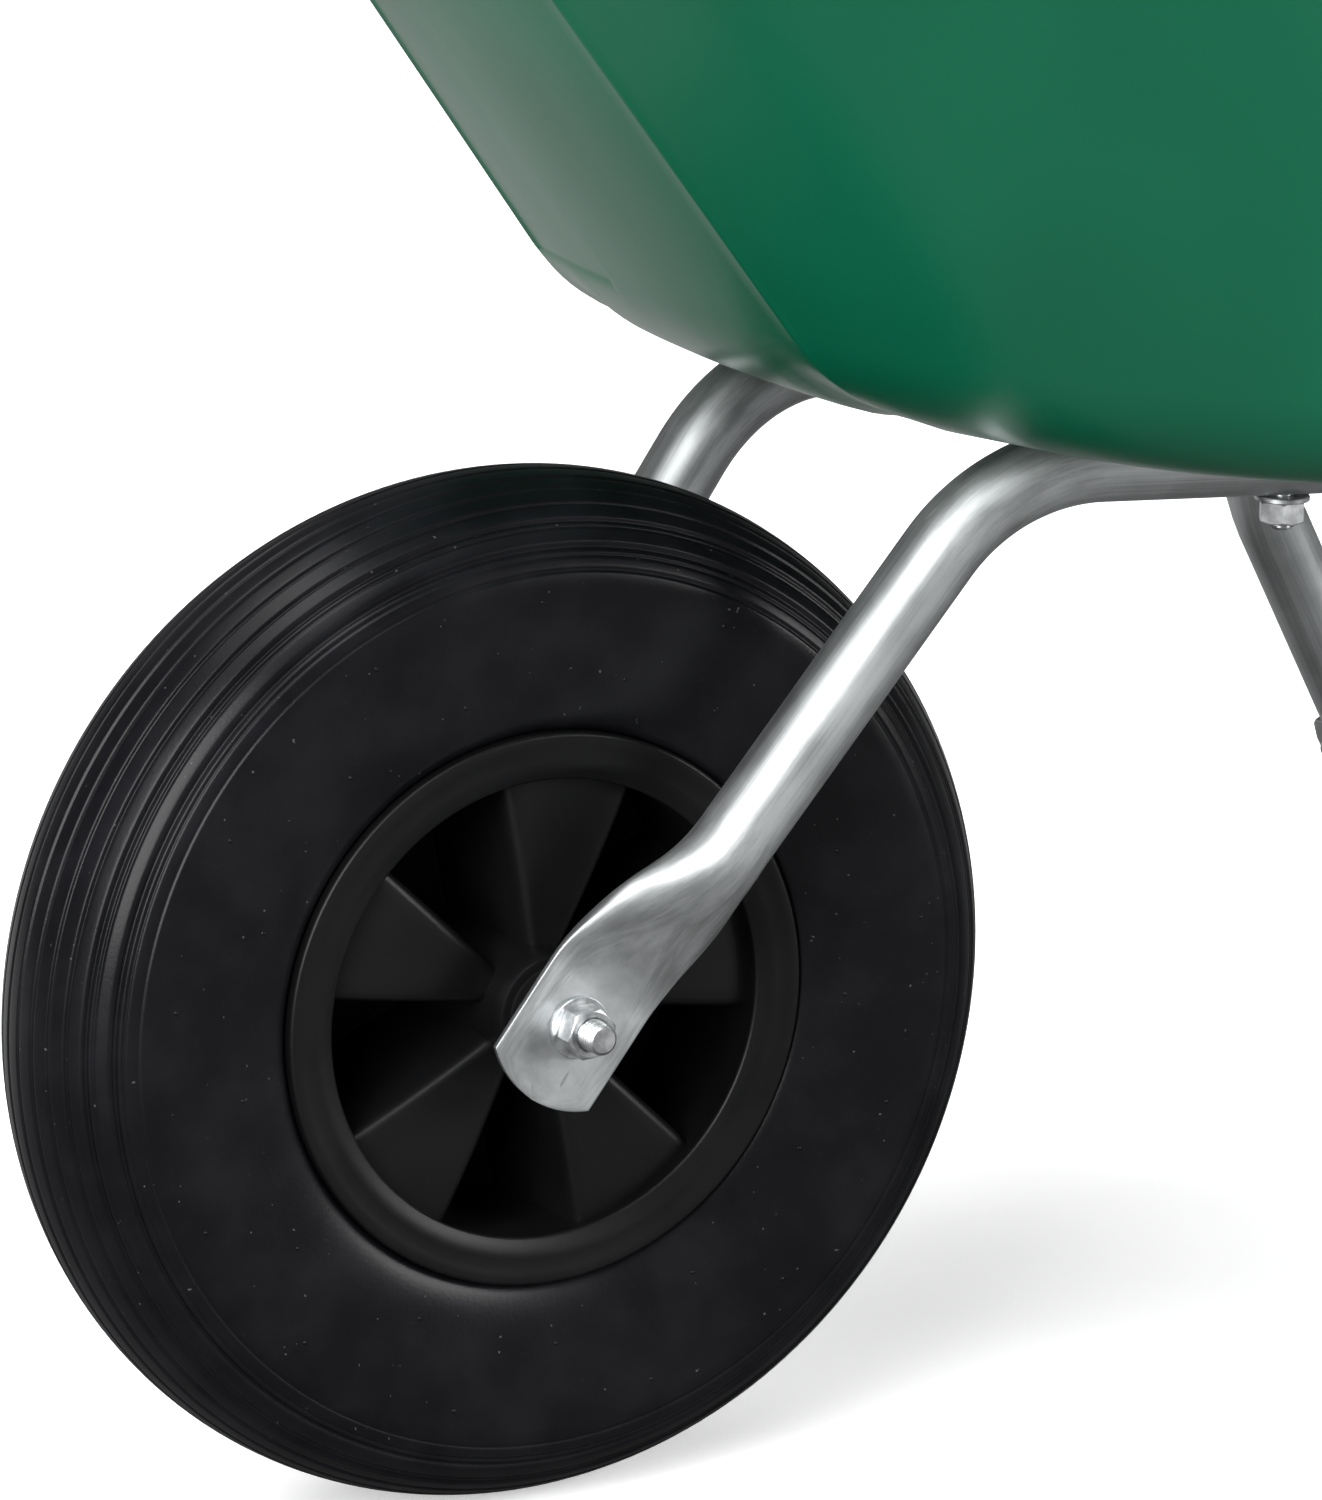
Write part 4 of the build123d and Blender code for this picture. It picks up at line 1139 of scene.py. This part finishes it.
class BARROW_OT_rim(bpy.types.Operator):
    """Moulded rim with its corrugated web, bushes and valve"""
    bl_idname = "barrow.rim"
    bl_label = "Rim"

    def execute(self, context):
        black = material("rim_plastic")
        parts = [skin("barrel", spin(rim_ring_profile(), 160), ring=True, sharp=32),
                 skin("hub", spin(hub_profile(), 64), ring=True)]
        web = skin("web", web_rows(), caps=False, sharp=60, flip=True)
        thick = web.modifiers.new("wall", "SOLIDIFY")
        thick.thickness = WEB_WALL * MM
        thick.offset = 0
        solid = bpy.data.meshes.new_from_object(web.evaluated_get(context.evaluated_depsgraph_get()))
        web.modifiers.clear()
        web.data = solid
        piece = joined("rim_moulding", parts + [web])
        finish(piece, "wheel", "rim_plastic", black, "rim")
        dress("hub_bush_left", "bush_plastic")
        dress("hub_bush_right", "bush_plastic")
        dress("valve_stem", "valve_brass")
        dress("valve_cap", "cap_plastic")
        return {"FINISHED"}


class BARROW_OT_axle(bpy.types.Operator):
    """Axle with its threads, washers, nuts and spacers"""
    bl_idname = "barrow.axle"
    bl_label = "Axle"

    def execute(self, context):
        zinc = material("zinc_hardware")
        place = Place((0, 0, 0), LEFT, UP)
        threads = ((-AXLE_HALF, -AXLE_HALF + 26), (AXLE_HALF - 26, AXLE_HALF))
        rod = skin("axle_rod", thread_rows(6.0, 1.75, -AXLE_HALF, AXLE_HALF, place, threads, 40), sharp=40)
        finish(rod, "frame", "zinc_hardware", zinc, "axle")
        nuts, washers = [], []
        for side in (1, -1):
            outward = Place(LEFT * side * PLATE_Y[1], LEFT * side, UP)
            washers.append(skin("washer", washer_rows(*AXLE_WASHER, outward), ring=True))
            spot = lowered(outward, AXLE_WASHER[2], 0.14)
            nuts.append(skin("nut", nut_rows(NUT_M12, spot), ring=True, sharp=22))
        finish(joined("axle_hex_nuts", nuts), "frame", "zinc_hardware", zinc, "axle_nuts")
        finish(joined("axle_flat_washers", washers), "frame", "zinc_hardware", zinc, "axle_washers")
        dress("axle_spacers", "zinc_hardware")
        return {"FINISHED"}


class BARROW_OT_fasteners(bpy.types.Operator):
    """Coach bolts, washers and nuts of the tray, and the brace's bolts and nuts"""
    bl_idname = "barrow.fasteners"
    bl_label = "Fasteners"

    def execute(self, context):
        groups = {"tray_bolts": [], "tray_washers": [], "tube_washers": [], "tray_nuts": [],
                  "brace_bolts": [], "brace_nuts": []}
        for place, under, turn in tray_bolt_places():
            low = under - WASHER_M10_T - NUT_M10[1] - BOLT_PAST_NUT
            rod = thread_rows(5.0, 1.5, low, 6.0, place, ((low, under + 2),), 28)
            groups["tray_bolts"] += [skin("rod", rod, sharp=40),
                                     skin("head", coach_head(lowered(place, TRAY_WALL + WASHER_M10_T)))]
            for node, radius, level in (("tray_washers", 15, TRAY_WALL),
                                        ("tube_washers", 10.5, under - WASHER_M10_T)):
                washer = washer_rows(radius, 5.3, WASHER_M10_T, lowered(place, level))
                groups[node].append(skin("washer", washer, ring=True))
            spot = lowered(place, under - WASHER_M10_T - NUT_M10[1], turn)
            groups["tray_nuts"].append(skin("nut", nut_rows(NUT_M10, spot), ring=True, sharp=22))
        for side in (1, -1):
            for shape, kind in brace_parts():
                shape = shape if side > 0 else on_right(shape)
                groups[kind].append(skin("part", shape, ring=kind == "brace_nuts", sharp=30))
        for node, parts in groups.items():
            piece = joined("set_of_" + node, parts)
            finish(piece, "frame", "zinc_hardware", material("zinc_hardware"), node)
        return {"FINISHED"}


def brace_parts():
    """The left brace bolt's rod and hexagon head, and its nut."""
    place = brace_bolt_place()
    front = TUBE_R + 3
    low = -TUBE_R - 12
    rod = thread_rows(4.0, 1.25, low, front, place, ((low, low + 16),), 24)
    flats = NUT_M8[0]
    angle = round_angles(72)
    z = np.array([0, 0.01, 4.2, 4.6, 5.0, 5.3])[:, None]
    limit = np.array([0.1, 9, 9, flats / 2 + 0.7, flats / 2 + 0.1, flats / 2 - 0.4])[:, None]
    head = lowered(place, front).out(lathe(np.minimum(hexagon(flats, angle), limit), z, angle))
    nut = nut_rows(NUT_M8, lowered(place, -TUBE_R - NUT_M8[1]))
    return ((rod, "brace_bolts"), (head, "brace_bolts"), (nut, "brace_nuts"))


class BARROW_OT_stage(bpy.types.Operator):
    """Floor, lights, surround and camera"""
    bl_idname = "barrow.stage"
    bl_label = "Stage"

    def execute(self, context):
        stage = context.scene.stage
        floor_at(context)
        world = bpy.data.worlds.new("surround")
        world.use_nodes = True
        surround(world, stage.surround)
        context.scene.world = world
        add_light("overhead", (0.1, 0.3, 2.6), (0.1, 0.0, 0.0), (2.6, 2.2), stage.key * 0.6)
        add_light("left_soft", (2.4, 1.6, 1.3), (0.3, 0.0, 0.3), (1.5, 1.9), stage.key)
        add_light("right_soft", (-1.9, 2.3, 1.1), (0.0, 0.0, 0.3), (1.4, 1.6), stage.key * 0.7)
        sky = bpy.data.lights.new("sky", "SUN")
        sky.energy, sky.angle = stage.sky, 1.2
        context.scene.collection.objects.link(bpy.data.objects.new("sky", sky))
        context.scene.view_settings.view_transform = "Standard"
        place_camera(context, stage)
        return {"FINISHED"}


def floor_at(context):
    """Flat pale floor at z = 0, a grid of four faces."""
    x, y = np.meshgrid(np.linspace(-30, 30, 3), np.linspace(-30, 30, 3), indexing="ij")
    points = np.stack([x, y, 0 * x], -1).reshape(-1, 3)
    mesh = bpy.data.meshes.new("studio_floor")
    mesh.from_pydata(points.tolist(), [], grid_quads(3, 3, False, False)[:, ::-1].tolist())
    floor = bpy.data.objects.new("studio_floor", mesh)
    context.scene.collection.objects.link(floor)
    mesh.materials.append(pale_floor(context.scene.stage.floor))


def surround(world, grey):
    """White to the camera and grey to every other ray, so that dark parts stay dark."""
    tree = world.node_tree
    path, mix = tree.nodes.new("ShaderNodeLightPath"), tree.nodes.new("ShaderNodeMixShader")
    tree.links.new(path.outputs[0], mix.inputs[0])
    for slot, shade in ((1, grey), (2, 1.0)):
        node = tree.nodes.new("ShaderNodeBackground")
        node.inputs[0].default_value = (shade, shade, shade, 1)
        tree.links.new(node.outputs[0], mix.inputs[slot])
    tree.links.new(mix.outputs[0], tree.nodes["World Output"].inputs[0])


def pale_floor(grey):
    """Near white to the camera. Other rays see it grey under the barrow and on its left."""
    paint = Finish("studio_floor", (0.95, 0.95, 0.95), 0.9, specular_ior_level=0.0)
    seen = paint.node("LightPath")
    across = paint.node("SeparateXYZ", output=1, Vector=paint.node("TexCoord", output=3))
    behind = 1 - across.ramp(-1.0, -0.2)
    white = seen.maths("MAXIMUM", behind * 0.3)
    paint.set("Base Color", paint.blend(white, (grey, grey, grey), (0.95, 0.95, 0.95)))
    paint.set("Emission Color", paint.blend(seen, (0.0, 0.0, 0.0), (0.4, 0.4, 0.4)))
    paint.set("Emission Strength", 1.0)
    return paint.material


def add_light(name, at, target, size, power):
    """A rectangular area light at a point, facing a target, both in metres."""
    lamp = bpy.data.lights.new(name, "AREA")
    lamp.shape = "RECTANGLE"
    lamp.size, lamp.size_y = size
    lamp.energy = power
    light = bpy.data.objects.new(name, lamp)
    back = unit(np.array(at) - np.array(target))
    right = unit(np.cross(UP, back))
    axes = np.stack([right, np.cross(back, right), back])
    matrix = np.eye(4)
    matrix[:3, :3] = axes.T
    matrix[:3, 3] = at
    light.matrix_world = Matrix(matrix)
    bpy.context.scene.collection.objects.link(light)
    return light


def place_camera(context, stage):
    """Camera behind and above the left front, at a distance from the axle.

    Its back axis is (sin a cos e, cos a cos e, sin e); the axle's centre lies aside and below
    the view's middle by set lengths, and distance in front of the camera.
    """
    a, e, roll = stage.azimuth, stage.elevation, stage.roll
    back = np.array([math.sin(a) * math.cos(e), math.cos(a) * math.cos(e), math.sin(e)])
    right = np.array([-math.cos(a), math.sin(a), 0])
    up = np.cross(back, right)
    turned_right = math.cos(roll) * right + math.sin(roll) * up
    turned_up = -math.sin(roll) * right + math.cos(roll) * up
    spot = AXLE + turned_right * stage.aside + turned_up * stage.below + back * stage.distance
    data = bpy.data.cameras.new("camera")
    data.lens = stage.lens
    data.sensor_width = 36
    data.clip_end = 200
    camera = bpy.data.objects.new("camera", data)
    matrix = np.eye(4)
    matrix[:3, :3] = np.stack([turned_right, turned_up, back]).T
    matrix[:3, 3] = spot
    camera.matrix_world = Matrix(matrix)
    context.scene.collection.objects.link(camera)
    context.scene.camera = camera


PARTS = (BARROW_OT_tray, BARROW_OT_tubes, BARROW_OT_legs, BARROW_OT_grips, BARROW_OT_tyre,
         BARROW_OT_rim, BARROW_OT_axle, BARROW_OT_fasteners, BARROW_OT_stage)


class BARROW_PT_panel(bpy.types.Panel):
    """Lists the barrow's settings and pieces"""
    bl_idname = "BARROW_PT_panel"
    bl_label = "Wheelbarrow"
    bl_space_type = "VIEW_3D"
    bl_region_type = "UI"
    bl_category = "Barrow"

    def draw(self, context):
        for group in (context.scene.barrow, context.scene.stage):
            for name in group.bl_rna.properties.keys():
                if name not in {"rna_type", "name"}:
                    self.layout.prop(group, name)
        for part in PARTS:
            self.layout.operator(part.bl_idname)


CLASSES = (BarrowSettings, StageSettings, *PARTS, BARROW_PT_panel)


def register():
    for cls in CLASSES:
        bpy.utils.register_class(cls)
    bpy.types.Scene.barrow = bpy.props.PointerProperty(type=BarrowSettings)
    bpy.types.Scene.stage = bpy.props.PointerProperty(type=StageSettings)


def unregister():
    del bpy.types.Scene.barrow
    del bpy.types.Scene.stage
    for cls in reversed(CLASSES):
        bpy.utils.unregister_class(cls)


def main():
    register()
    for part in PARTS:
        group, name = part.bl_idname.split(".")
        getattr(getattr(bpy.ops, group), name)()


if __name__ == "__main__":
    main()
